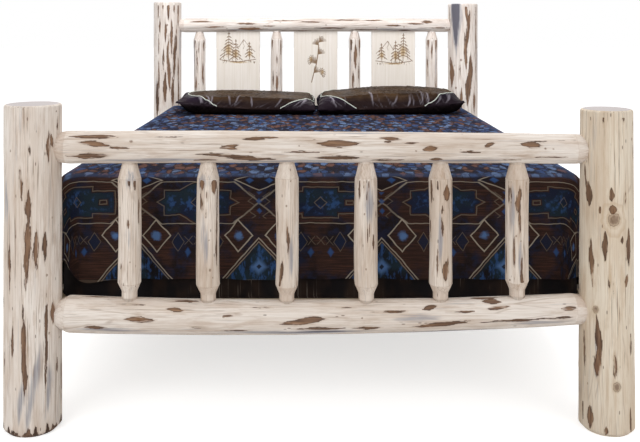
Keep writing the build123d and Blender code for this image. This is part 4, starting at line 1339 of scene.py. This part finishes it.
def make_cover():
    low, high = corners_of("comforter")
    head_ends = np.array([(low[0], high[1]), (high[0], high[1])])
    rim, outward = rounded_rim(low, high, COVER_CORNER, (2, 3), COVER_RIM_STEPS, head_ends)
    along = lengths_along(rim)
    foot_share = np.clip(-outward[:, 1], 0, 1)
    past = high[1] - low[1] - COVER_CORNER + COVER_CORNER * math.pi / 2 - along
    lift = sum(height * np.exp(-(((past - at) / reach) ** 2)) for height, at, reach in HEM_BUMPS)
    hem = low[2] + COVER_HEM_LIFT + (COVER_FOOT_HEM - low[2]) * np.clip(foot_share * 1.6, 0, 1)
    hem = np.maximum(hem + lift + smooth_waves(along, HEM_WAVES, COVER_HEM_DIP), low[2] + COVER_LEAST_LIFT)

    # rows from the middle of the bed out to the rim, over the edge and down to the hem
    spine_y = np.clip(rim[:, 1], low[1] + COVER_SPINE_FROM_FOOT, high[1])
    spine = np.column_stack([np.zeros(len(rim)), spine_y])
    inner = rim - outward * COVER_EDGE
    on_top = np.linspace(0, 1, COVER_ROWS[0]) ** 0.85
    over_edge = np.linspace(0, math.pi / 2, COVER_ROWS[1])[1:]
    down_side = np.linspace(0, 1, COVER_ROWS[2])[1:]
    tilt = np.concatenate([0 * on_top, over_edge, 0 * down_side + math.pi / 2])
    sheets = []
    for thick in (0, COVER_THICK):
        edge = COVER_EDGE - thick
        rows, cloth = [], []
        for t in on_top:
            cloth.append(spine + (inner - spine) * t)
            rows.append(np.column_stack([cloth[-1], np.full(len(rim), high[2] - thick)]))
        for angle in over_edge:
            z = high[2] - COVER_EDGE + edge * math.cos(angle)
            rows.append(np.column_stack([inner + outward * edge * math.sin(angle), np.full(len(rim), z)]))
            cloth.append(inner + outward * COVER_EDGE * angle)
        bottom = rows[-1][:, 2]
        for t in down_side:
            z = bottom + (hem - bottom) * t
            rows.append(np.column_stack([rim - outward * thick, z]))
            cloth.append(inner + outward * (COVER_EDGE * math.pi / 2 + (bottom - z)[:, None]))
        sheets.append((np.array(rows), np.array(cloth)))
    (upper, cloth), (lower, _) = sheets

    # soft undulation, inwards only so that it stays within its box
    puff = np.zeros(upper.shape[:2])
    for _ in range(16):
        kx, ky = rng.uniform(-17, 17, 2)
        wave = np.sin(cloth[..., 0] * kx + cloth[..., 1] * ky + rng.uniform(0, LAST_PHASE))
        puff += wave * rng.uniform(0.3, 1)
    puff = (puff - puff.min()) / (puff.max() - puff.min())
    drop = np.clip((high[2] - COVER_EDGE - upper[..., 2]) / 0.25, 0, 1)
    folds = smooth_waves(along, FOLD_WAVES, 1.0) * 0.5 + 0.5
    hanging = COVER_LEAST_SINK + COVER_FOLD * folds + COVER_HANGING_PUFF * puff
    sink = puff * COVER_PUFF * (1 - drop) + hanging * drop
    inwards = -np.dstack([
        outward[None, :, 0] * np.sin(tilt)[:, None], outward[None, :, 1] * np.sin(tilt)[:, None],
        np.repeat(np.cos(tilt)[:, None], len(rim), axis=1)])
    upper = upper + inwards * sink[..., None]
    lower = lower + inwards * np.minimum(sink, COVER_MOST_LINING_SINK)[..., None]

    points = np.vstack([upper.reshape(-1, 3), lower.reshape(-1, 3)])
    piece = make_mesh("comforter_cover", points, two_layer_faces(*upper.shape[:2], open_sides=3))
    flat_place = np.dstack([cloth, np.zeros(cloth.shape[:2])])
    flat_place[..., 1] -= low[1] + COVER_EDGE - COVER_EDGE * math.pi / 4
    set_attribute(piece, "cloth", np.tile(flat_place.reshape(-1, 3), (2, 1)))
    close_up(piece, cover_finish(), 60)
    declare(piece, "mattress_set", "comforter")


make_cover()

PILLOW_COLUMNS, PILLOW_ROWS = 122, 95
PILLOW_CUT = 1.035
PILLOW_PULL = 0.035
PILLOW_PRESSED = 0.008
PILLOW_BLOW_FRAMES = 20
PILLOW_MOST_BLOWN = 0.055
PILLOW_RIDGES = 30
PILLOW_CLEARANCE = 0.0006
PILLOW_BACK_SEAM = 0.012
PIPING_RADIUS = 0.0021
SATIN = satin_finish()
PIPING = piping_finish()
# Crown and seam are heights over the cover from a pillow's left end to its right. Panels are the seams of its
# two end panels as shares of its half width, in front and in the middle. Outer is the bed's side that it lies
# on, narrow how much less wide its front is, and tuck how far its under side draws in.
HEIGHTS_AT = (-1, -0.6, -0.2, 0.3, 0.7, 1)
PILLOWS = {
    "pillow_left": dict(
        crown=(0.092, 0.094, 0.093, 0.088, 0.083, 0.078), seam=(0.056, 0.041, 0.028, 0.022, 0.020, 0.022),
        outer=-1, panels=((0.34, 0.735), (0.51, 0.95)), narrow=0.052, tuck=0.075),
    "pillow_right": dict(
        crown=(0.086, 0.098, 0.112, 0.117, 0.117, 0.112), seam=(0.022, 0.020, 0.022, 0.030, 0.044, 0.060),
        outer=1, panels=((0.47, 0.86), (0.42, 0.82)), narrow=0.022, tuck=0.03),
}


def pillow_sheets(half):
    """Two sheets sewn round their rim, a little larger than the pillow and not yet full."""
    columns, rows = PILLOW_COLUMNS, PILLOW_ROWS
    u, v = np.meshgrid(np.linspace(-1, 1, columns), np.linspace(-1, 1, rows))
    body = (np.clip(1 - u**2, 0, 1) * np.clip(1 - v**2, 0, 1)) ** 0.5
    lift = 0.034 * body + 0.0012 * body * rng.normal(size=u.shape)
    upper = np.stack([u * half[0] * PILLOW_CUT, v * half[1] * PILLOW_CUT, lift], axis=2)
    lower = upper * (1, 1, -1)
    free = (np.abs(u) < 1) & (np.abs(v) < 1)
    lower_index = np.arange(rows * columns).reshape(rows, columns)
    lower_index[free] = rows * columns + np.arange(free.sum())
    points = np.vstack([upper.reshape(-1, 3), lower[free]])
    flat_u, flat_v = (np.concatenate([flat.reshape(-1), flat[free]]) for flat in (u, v))
    faces = grid_faces(rows, columns, closed=False)
    under = lower_index.reshape(-1)[faces][:, ::-1]
    return points, faces.tolist() + under.tolist(), flat_u, flat_v


def inflate(piece, frames, most):
    """Blow the sewn sheets up as cloth, and keep what comes out."""
    start = np.array([vertex.co[:] for vertex in piece.data.vertices])
    cloth = piece.modifiers.new("cloth", "CLOTH")
    settings = cloth.settings
    settings.quality = 5
    settings.mass = 0.25
    settings.tension_stiffness = settings.compression_stiffness = 12
    settings.shear_stiffness = 4
    settings.bending_stiffness = 0.02
    settings.use_pressure = True
    settings.uniform_pressure_force = 4
    settings.effector_weights.gravity = 0
    cloth.collision_settings.use_collision = False
    cloth.point_cache.frame_start, cloth.point_cache.frame_end = 1, frames
    for number in range(1, frames + 1):
        bpy.context.scene.frame_set(number)
    blown = piece.evaluated_get(bpy.context.evaluated_depsgraph_get()).data
    points = np.array([vertex.co[:] for vertex in blown.vertices])
    piece.modifiers.remove(cloth)
    bpy.context.scene.frame_set(1)
    move = points - start
    length = np.linalg.norm(move, axis=1, keepdims=True)
    return start + move * np.minimum(1, most / np.maximum(length, 1e-9))


def wrinkles(flat_u, flat_v, half, count, outer):
    """Soft ridges from the front seam and the corners inwards, as heights and as a painted highlight on their
    crests.
    """
    x, y = flat_u * half[0], flat_v * half[1]
    height, gleam = np.zeros(len(x)), np.zeros(len(x))
    lines = []
    for _ in range(count):
        u = rng.uniform(-0.8, 0.8)
        lean = -outer * 0.16 + rng.normal() * 0.12
        lines.append((u, -0.99, u + lean, rng.uniform(-0.85, -0.35), rng.uniform(0.0018, 0.0052)))
    for side_u in (-1, 1):
        for side_v in (-1, 1):
            for _ in range(5):
                turn = rng.uniform(0.15, 1.4)
                reach = rng.uniform(0.25, 0.55)
                u, v = side_u * 0.95, side_v * 0.93
                end_u = u - side_u * reach * math.cos(turn)
                end_v = v - side_v * reach * 1.3 * math.sin(turn)
                lines.append((u, v, end_u, end_v, rng.uniform(0.0015, 0.003)))
    for au, av, bu, bv, rise in lines:
        ax, ay, bx, by = au * half[0], av * half[1], bu * half[0], bv * half[1]
        dx, dy = bx - ax, by - ay
        t = np.clip(((x - ax) * dx + (y - ay) * dy) / (dx * dx + dy * dy), 0, 1)
        bend = 0.010 * np.sin(t * 2.6)
        gap = np.hypot(x - ax - t * dx - bend, y - ay - t * dy)
        width = 0.0075 + 0.007 * t
        height += rise * np.exp(-((gap / width) ** 2)) * (1 - t) ** 0.6
        crest = np.exp(-((gap / (0.5 * width)) ** 2)) * np.sin(math.pi * np.clip(t, 0.02, 1) ** 0.7)
        gleam = np.maximum(gleam, crest * min(rise / 0.0040, 1))
    return height, gleam


def rest_pillow(points, flat_u, flat_v, low, high, crown, seam, outer, narrow, tuck):
    """The blown pillow laid down, with what its shader reads: belly, the painted shadow of its under side;
    fold, painted highlights on the wrinkle crests; and shade, painted shade on its lower front.
    """
    middle, half = (low + high) / 2, (high - low) / 2
    points = points - (points.min(axis=0) + points.max(axis=0)) / 2
    points[:, :2] *= half[:2] * 0.997 / np.abs(points[:, :2]).max(axis=0)
    share = points[:, 2] / np.abs(points[:, 2]).max()
    above, below = np.clip(share, 0, 1), np.clip(-share, 0, 1)
    front = (1 - points[:, 1] / half[1]) / 2
    for side_u in (-1, 1):
        rim = np.flatnonzero(flat_u == side_u)
        rim = rim[np.argsort(flat_v[rim])]
        reach = np.abs(np.interp(flat_v, flat_v[rim], points[rim, 0]))
        pull = PILLOW_PULL if side_u == outer else PILLOW_PRESSED
        wanted = half[0] * (1 - pull * (1 - flat_v**2))
        points[:, 0] = np.where(flat_u * side_u > 0, points[:, 0] * (wanted / reach), points[:, 0])
    points[:, 0] -= outer * narrow * front * np.clip(points[:, 0] * outer / half[0] + 0.2, 0, 1.2)
    height = np.interp(flat_u, HEIGHTS_AT, crown)
    outward = np.clip(flat_u * outer, -1, 1)
    behind = np.clip((flat_v + 1) / 2, 0, 1)
    line = np.interp(flat_u, HEIGHTS_AT, seam)
    line = line + (PILLOW_BACK_SEAM - line) * behind * np.clip(outward, 0, 1) + 0.004 * np.abs(flat_v) ** 3
    ridges, gleam = wrinkles(flat_u, flat_v, half, PILLOW_RIDGES, outer)
    upper = above ** (1.25 + 0.45 * outward) * (height - line) + np.clip(share * 4, 0, 1) * (ridges - 0.001)
    belly = -line * (1 - np.exp(-3.4 * below**1.4))
    points[:, 0] -= outer * tuck * below**0.5 * np.clip(outward * 2 - 1, 0, 1)
    z = low[2] + PILLOW_CLEARANCE + line + np.where(share > 0, upper, belly)
    rested = np.column_stack([points[:, :2] + middle[:2], np.clip(z, low[2], high[2])])
    # painted shade on the lower front; belly below is the painted shadow of the under side, fold the painted
    # highlights
    shade = np.clip((0.84 - share) / 0.42, 0, 1) * np.clip(0.45 - 1.2 * flat_v, 0, 1)
    return rested, {"belly": np.clip(-share * 6, 0, 1), "fold": gleam * (share > 0), "shade": shade}


def cord(name, path, side, above, radius, material, angle, closed=False):
    """A round cord along a path, from the directions beside and above it, its ends closed."""
    turn = np.linspace(0, TURN, 8, endpoint=False)
    ring = np.cos(turn)[None, :, None] * side[:, None] + np.sin(turn)[None, :, None] * above[:, None]
    points = (path[:, None] + ring * radius).reshape(-1, 3)
    faces = (grid_faces(len(path) + closed, len(turn)) % len(points)).tolist()
    if not closed:
        last = len(points) - len(turn)
        faces += [list(range(len(turn)))[::-1], list(range(last, len(points)))]
    piece = make_mesh(name, points, faces)
    close_up(piece, material, angle)
    return piece


def sample(grid, u, v):
    """The point of a sheet at cloth coordinates from -1 to 1."""
    rows, columns = grid.shape[:2]
    column = np.clip((u + 1) / 2 * (columns - 1), 0, columns - 1.001)
    row = np.clip((v + 1) / 2 * (rows - 1), 0, rows - 1.001)
    c, r = column.astype(int), row.astype(int)
    fc, fr = (column - c)[:, None], (row - r)[:, None]
    near = grid[r, c] * (1 - fc) + grid[r, c + 1] * fc
    far = grid[r + 1, c] * (1 - fc) + grid[r + 1, c + 1] * fc
    return near * (1 - fr) + far * fr


def end_seam(v, front, middle):
    """Where the seam of an end panel lies, from the pillow's middle, at cloth coordinate v."""
    return middle - (middle - front) * np.abs(v) ** 2.2


def make_pillow(name, panels, outer, **form):
    low, high = corners_of(name)
    points, faces, flat_u, flat_v = pillow_sheets((high - low) / 2)
    piece = make_mesh(name + "_case", points, faces)
    points = inflate(piece, PILLOW_BLOW_FRAMES, PILLOW_MOST_BLOWN)
    points, marks = rest_pillow(points, flat_u, flat_v, low, high, outer=outer, **form)
    piece.data.vertices.foreach_set("co", points.reshape(-1).astype(np.float32))
    piece.data.update()
    piece.data.materials.append(SATIN)
    smooth(piece, 80)
    ends = np.where(flat_u < 0, end_seam(flat_v, *panels[0]), end_seam(flat_v, *panels[1]))
    set_attribute(piece, "corner", (np.abs(flat_u) - ends) * 0.2)
    for key, values in marks.items():
        set_attribute(piece, key, values)
    declare(piece, name + "_body", name)
    grid = points[:PILLOW_ROWS * PILLOW_COLUMNS].reshape(PILLOW_ROWS, PILLOW_COLUMNS, 3)
    v = np.linspace(-0.985, 0.985, 110)
    for side_u, panel, end in ((-1, panels[0], "left"), (1, panels[1], "right")):
        path = sample(grid, side_u * end_seam(v, *panel), v) + (0, 0, PIPING_RADIUS * 0.35)
        path[:, 2] = np.minimum(path[:, 2], high[2] - PIPING_RADIUS)
        ahead = np.gradient(path, axis=0)
        ahead /= np.linalg.norm(ahead, axis=1, keepdims=True)
        side = np.cross(ahead, (0, 0, 1))
        side /= np.linalg.norm(side, axis=1, keepdims=True)
        piping = cord(f"{name}_piping_{end}", path, side, np.cross(side, ahead), PIPING_RADIUS, PIPING, 60)
        declare(piping, name + "_body")


for pillow_name, form in PILLOWS.items():
    make_pillow(pillow_name, **form)

# ======================================================================================
# Deck: screw heads, and materials for the CAD's own boards and steel
# ======================================================================================
SCREW_RADIUS = 0.0048
SCREW_RISE = 0.0016
SCREW_CORNERS = 16
SCREW_PROFILE = ((1.0, -0.4), (0.98, 0.3), (0.72, 0.85), (0.42, 1.0), (0.36, 0.2), (0.0, 0.2))
SLAT_SCREW_INSET = (0.019, 0.022)
LEDGER_SCREW_INSET = 0.06
LEDGER_SCREWS = 8
STEEL = steel_finish()
PINE_ALONG_Y = board_finish("sawn_pine_y", DECK_PINE, "Y")
NODE_MATERIALS = {
    "slat_": board_finish("sawn_pine_x", DECK_PINE, "X"),
    "ledger_": PINE_ALONG_Y,
    "centre_beam": PINE_ALONG_Y,
    "centre_leg": board_finish("leg_pine", LEG_PINE, "Z"),
    **dict.fromkeys(("rail_bolts", "rail_washers", "rail_nuts", "leg_bolts", "leg_nuts"), STEEL),
}


def screw_heads(name, places, upwards, sideways, ahead):
    """Pan heads with a square recess, one at each place, as one piece."""
    turn = np.linspace(0, TURN, SCREW_CORNERS, endpoint=False)
    square = np.maximum(np.abs(np.cos(turn)), np.abs(np.sin(turn)))
    head = []
    for share, rise in SCREW_PROFILE:
        radius = SCREW_RADIUS * share / (square if share < 0.4 else 1)
        ring = np.outer(radius * np.cos(turn), sideways) + np.outer(radius * np.sin(turn), ahead)
        head.append(ring + np.array(upwards) * SCREW_RISE * rise)
    head = np.vstack(head)
    faces = grid_faces(len(SCREW_PROFILE), SCREW_CORNERS)
    points = np.vstack([head + place for place in places])
    faces = np.vstack([faces + number * len(head) for number in range(len(places))])
    piece = make_mesh(name, points, faces.tolist())
    close_up(piece, STEEL, 45)
    declare(piece, "bed_frame")


slat_places = []
for node in sorted(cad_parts):
    if node.startswith("slat_"):
        low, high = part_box(node)
        for x in (low[0] + SLAT_SCREW_INSET[0], high[0] - SLAT_SCREW_INSET[0]):
            for y in (low[1] + SLAT_SCREW_INSET[1], high[1] - SLAT_SCREW_INSET[1]):
                slat_places.append((x, y, high[2]))
screw_heads("slat_screws", slat_places, (0, 0, 1), (1, 0, 0), (0, 1, 0))
for side, node in ((1, "ledger_left"), (-1, "ledger_right")):
    low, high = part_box(node)
    inner_face = high[0] if side > 0 else low[0]
    screws_y = np.linspace(low[1] + LEDGER_SCREW_INSET, high[1] - LEDGER_SCREW_INSET, LEDGER_SCREWS)
    places = [(inner_face, y, (low[2] + high[2]) / 2) for y in screws_y]
    screw_heads(node + "_screws", places, (side, 0, 0), (0, 1, 0), (0, 0, 1))
for prefix, material in NODE_MATERIALS.items():
    for name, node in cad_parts.items():
        if name.startswith(prefix):
            node.data.materials.clear()
            node.data.materials.append(material)

# ======================================================================================
# Mattress and foundation
# ======================================================================================
SLAB_INSET = 0.002
SLAB_CORNER = 0.075
SLAB_RIM_STEPS = (9, 62)
SLAB_SPINE_FROM_END = 0.7
QUILT_PITCH = 0.19
RIPPLE_PITCH = 0.11
TICKING = plain_cloth_finish("mattress_cloth", (0.55, 0.54, 0.52), (0.68, 0.67, 0.65))
TAPE = plain_cloth_finish("tape_cloth", (0.30, 0.29, 0.28), (0.42, 0.40, 0.38))
DARK_CLOTH = plain_cloth_finish(
    "foundation_cloth", (0.006, 0.005, 0.006), (0.014, 0.012, 0.012), (0.25, 0.22, 0.19))


def make_slab(node, name, edge, puff, ripple, tape, material, tape_material):
    """A mattress-like block: puffed faces, quilted border, a taped edge above and below."""
    low, high = corners_of(node)
    rim, outward = rounded_rim(low + SLAB_INSET, high - SLAB_INSET, SLAB_CORNER, range(4), SLAB_RIM_STEPS)
    around = len(rim)
    middle_y = np.clip(rim[:, 1], low[1] + SLAB_SPINE_FROM_END, high[1] - SLAB_SPINE_FROM_END)
    spine = np.column_stack([np.zeros(around), middle_y])
    inner = rim - outward * edge
    faces = []
    for face, z_face in ((1, high[2] - SLAB_INSET), (-1, low[2] + SLAB_INSET)):
        part = []
        for t in np.linspace(0, 1, 34):
            spot = spine + (inner - spine) * t
            rising, falling = spot[:, 0] + spot[:, 1], spot[:, 0] - spot[:, 1]
            quilt = np.abs(np.sin(math.pi * rising / QUILT_PITCH) * np.sin(math.pi * falling / QUILT_PITCH))
            part.append(np.column_stack([spot, z_face - face * puff * (1 - quilt**0.4)]))
        for angle in np.linspace(0, math.pi / 2, 7)[1:]:
            z = np.full(around, z_face - face * edge * (1 - math.cos(angle)))
            part.append(np.column_stack([inner + outward * edge * math.sin(angle), z]))
        faces.append(part)
    ripples = ripple * (0.5 + 0.5 * np.cos(lengths_along(rim) * TURN / RIPPLE_PITCH))
    border = []
    for t in np.linspace(0, 1, 22)[1:-1]:
        z = (high[2] - SLAB_INSET - edge) * (1 - t) + (low[2] + SLAB_INSET + edge) * t
        spot = rim - outward * (ripples * math.sin(math.pi * t))[:, None]
        border.append(np.column_stack([spot, np.full(around, z)]))
    grid = np.array(faces[0] + border + faces[1][::-1])
    piece = make_mesh(name, grid.reshape(-1, 3), grid_faces(len(grid), around).tolist())
    close_up(piece, material, 60)
    declare(piece, "mattress_set", node)
    side = np.column_stack([outward, np.zeros(around)])
    above = np.tile((0, 0, 1), (around, 1))
    tape_in = SLAB_INSET + edge * 0.55
    for place, z in (("upper", high[2] - tape_in), ("lower", low[2] + tape_in)):
        loop = np.column_stack([rim + outward * (SLAB_INSET - tape), np.full(around, z)])
        taped = cord(f"{name}_tape_{place}", loop, side, above, tape, tape_material, 80, closed=True)
        declare(taped, "mattress_set")


make_slab("foundation", "foundation_box", 0.012, 0.0004, 0.0006, 0.0028, DARK_CLOTH, DARK_CLOTH)
make_slab("mattress", "mattress_pad", 0.022, 0.004, 0.003, 0.004, TICKING, TAPE)

# ======================================================================================
# Camera, light and floor
# ======================================================================================
WORLD_LIGHT = 0.50
FLOOR_GLOW = 0.62
FLOOR_SIZE = 60
LAMPS = {  # place, target, size and power
    "key": ((-2.6, -4.4, 2.7), (0, -0.4, 0.6), (3.0, 2.6), 71),
    "fill": ((3.0, -4.0, 2.1), (0, -0.2, 0.6), (3.0, 2.6), 44),
    "head": ((0.0, -0.3, 2.7), (0, 1.1, 0.9), (3.0, 1.0), 50),
    "back": ((0.5, 3.6, 3.2), (0, 0.6, 0.8), (3.0, 2.0), 35),
}
scene = bpy.context.scene
camera = bpy.data.objects.new("camera", bpy.data.cameras.new("camera"))
camera.location = CAMERA
camera.rotation_euler = (math.radians(90), 0, 0)
camera.data.lens = FOCAL_PIXELS / FRAME_PIXELS[0] * SENSOR_WIDTH
camera.data.sensor_width = SENSOR_WIDTH
camera.data.shift_x = (FRAME_PIXELS[0] / 2 - HORIZON_PIXEL[0]) / FRAME_PIXELS[0]
camera.data.shift_y = -(FRAME_PIXELS[1] / 2 - HORIZON_PIXEL[1]) / FRAME_PIXELS[0]
scene.collection.objects.link(camera)
scene.camera = camera
for name, (place, target, size, power) in LAMPS.items():
    light = bpy.data.lights.new(name, "AREA")
    light.shape = "RECTANGLE"
    light.size, light.size_y = size
    light.energy = power
    lamp = bpy.data.objects.new(name, light)
    lamp.location = place
    lamp.rotation_euler = (Vector(target) - Vector(place)).to_track_quat("-Z", "Y").to_euler()
    scene.collection.objects.link(lamp)

scene.world = bpy.data.worlds.new("studio")
scene.world.use_nodes = True
tree = scene.world.node_tree
background = tree.nodes["Background"].inputs
feed(tree, background["Strength"], only_seen(tree) * (1 - WORLD_LIGHT) + WORLD_LIGHT)
feed(tree, background["Color"], (1, 1, 1))

studio = Finish("studio_floor", (0.88, 0.88, 0.88))
studio.done(Roughness=0.9, Emission_Color=(1, 1, 1), Emission_Strength=only_seen(studio.tree) * FLOOR_GLOW)
bpy.ops.mesh.primitive_plane_add(size=FLOOR_SIZE, location=(0, 0, 0))
floor = bpy.context.object
floor.name = "studio_floor"
floor.data.materials.append(studio.material)

scene.view_settings.view_transform = "Standard"
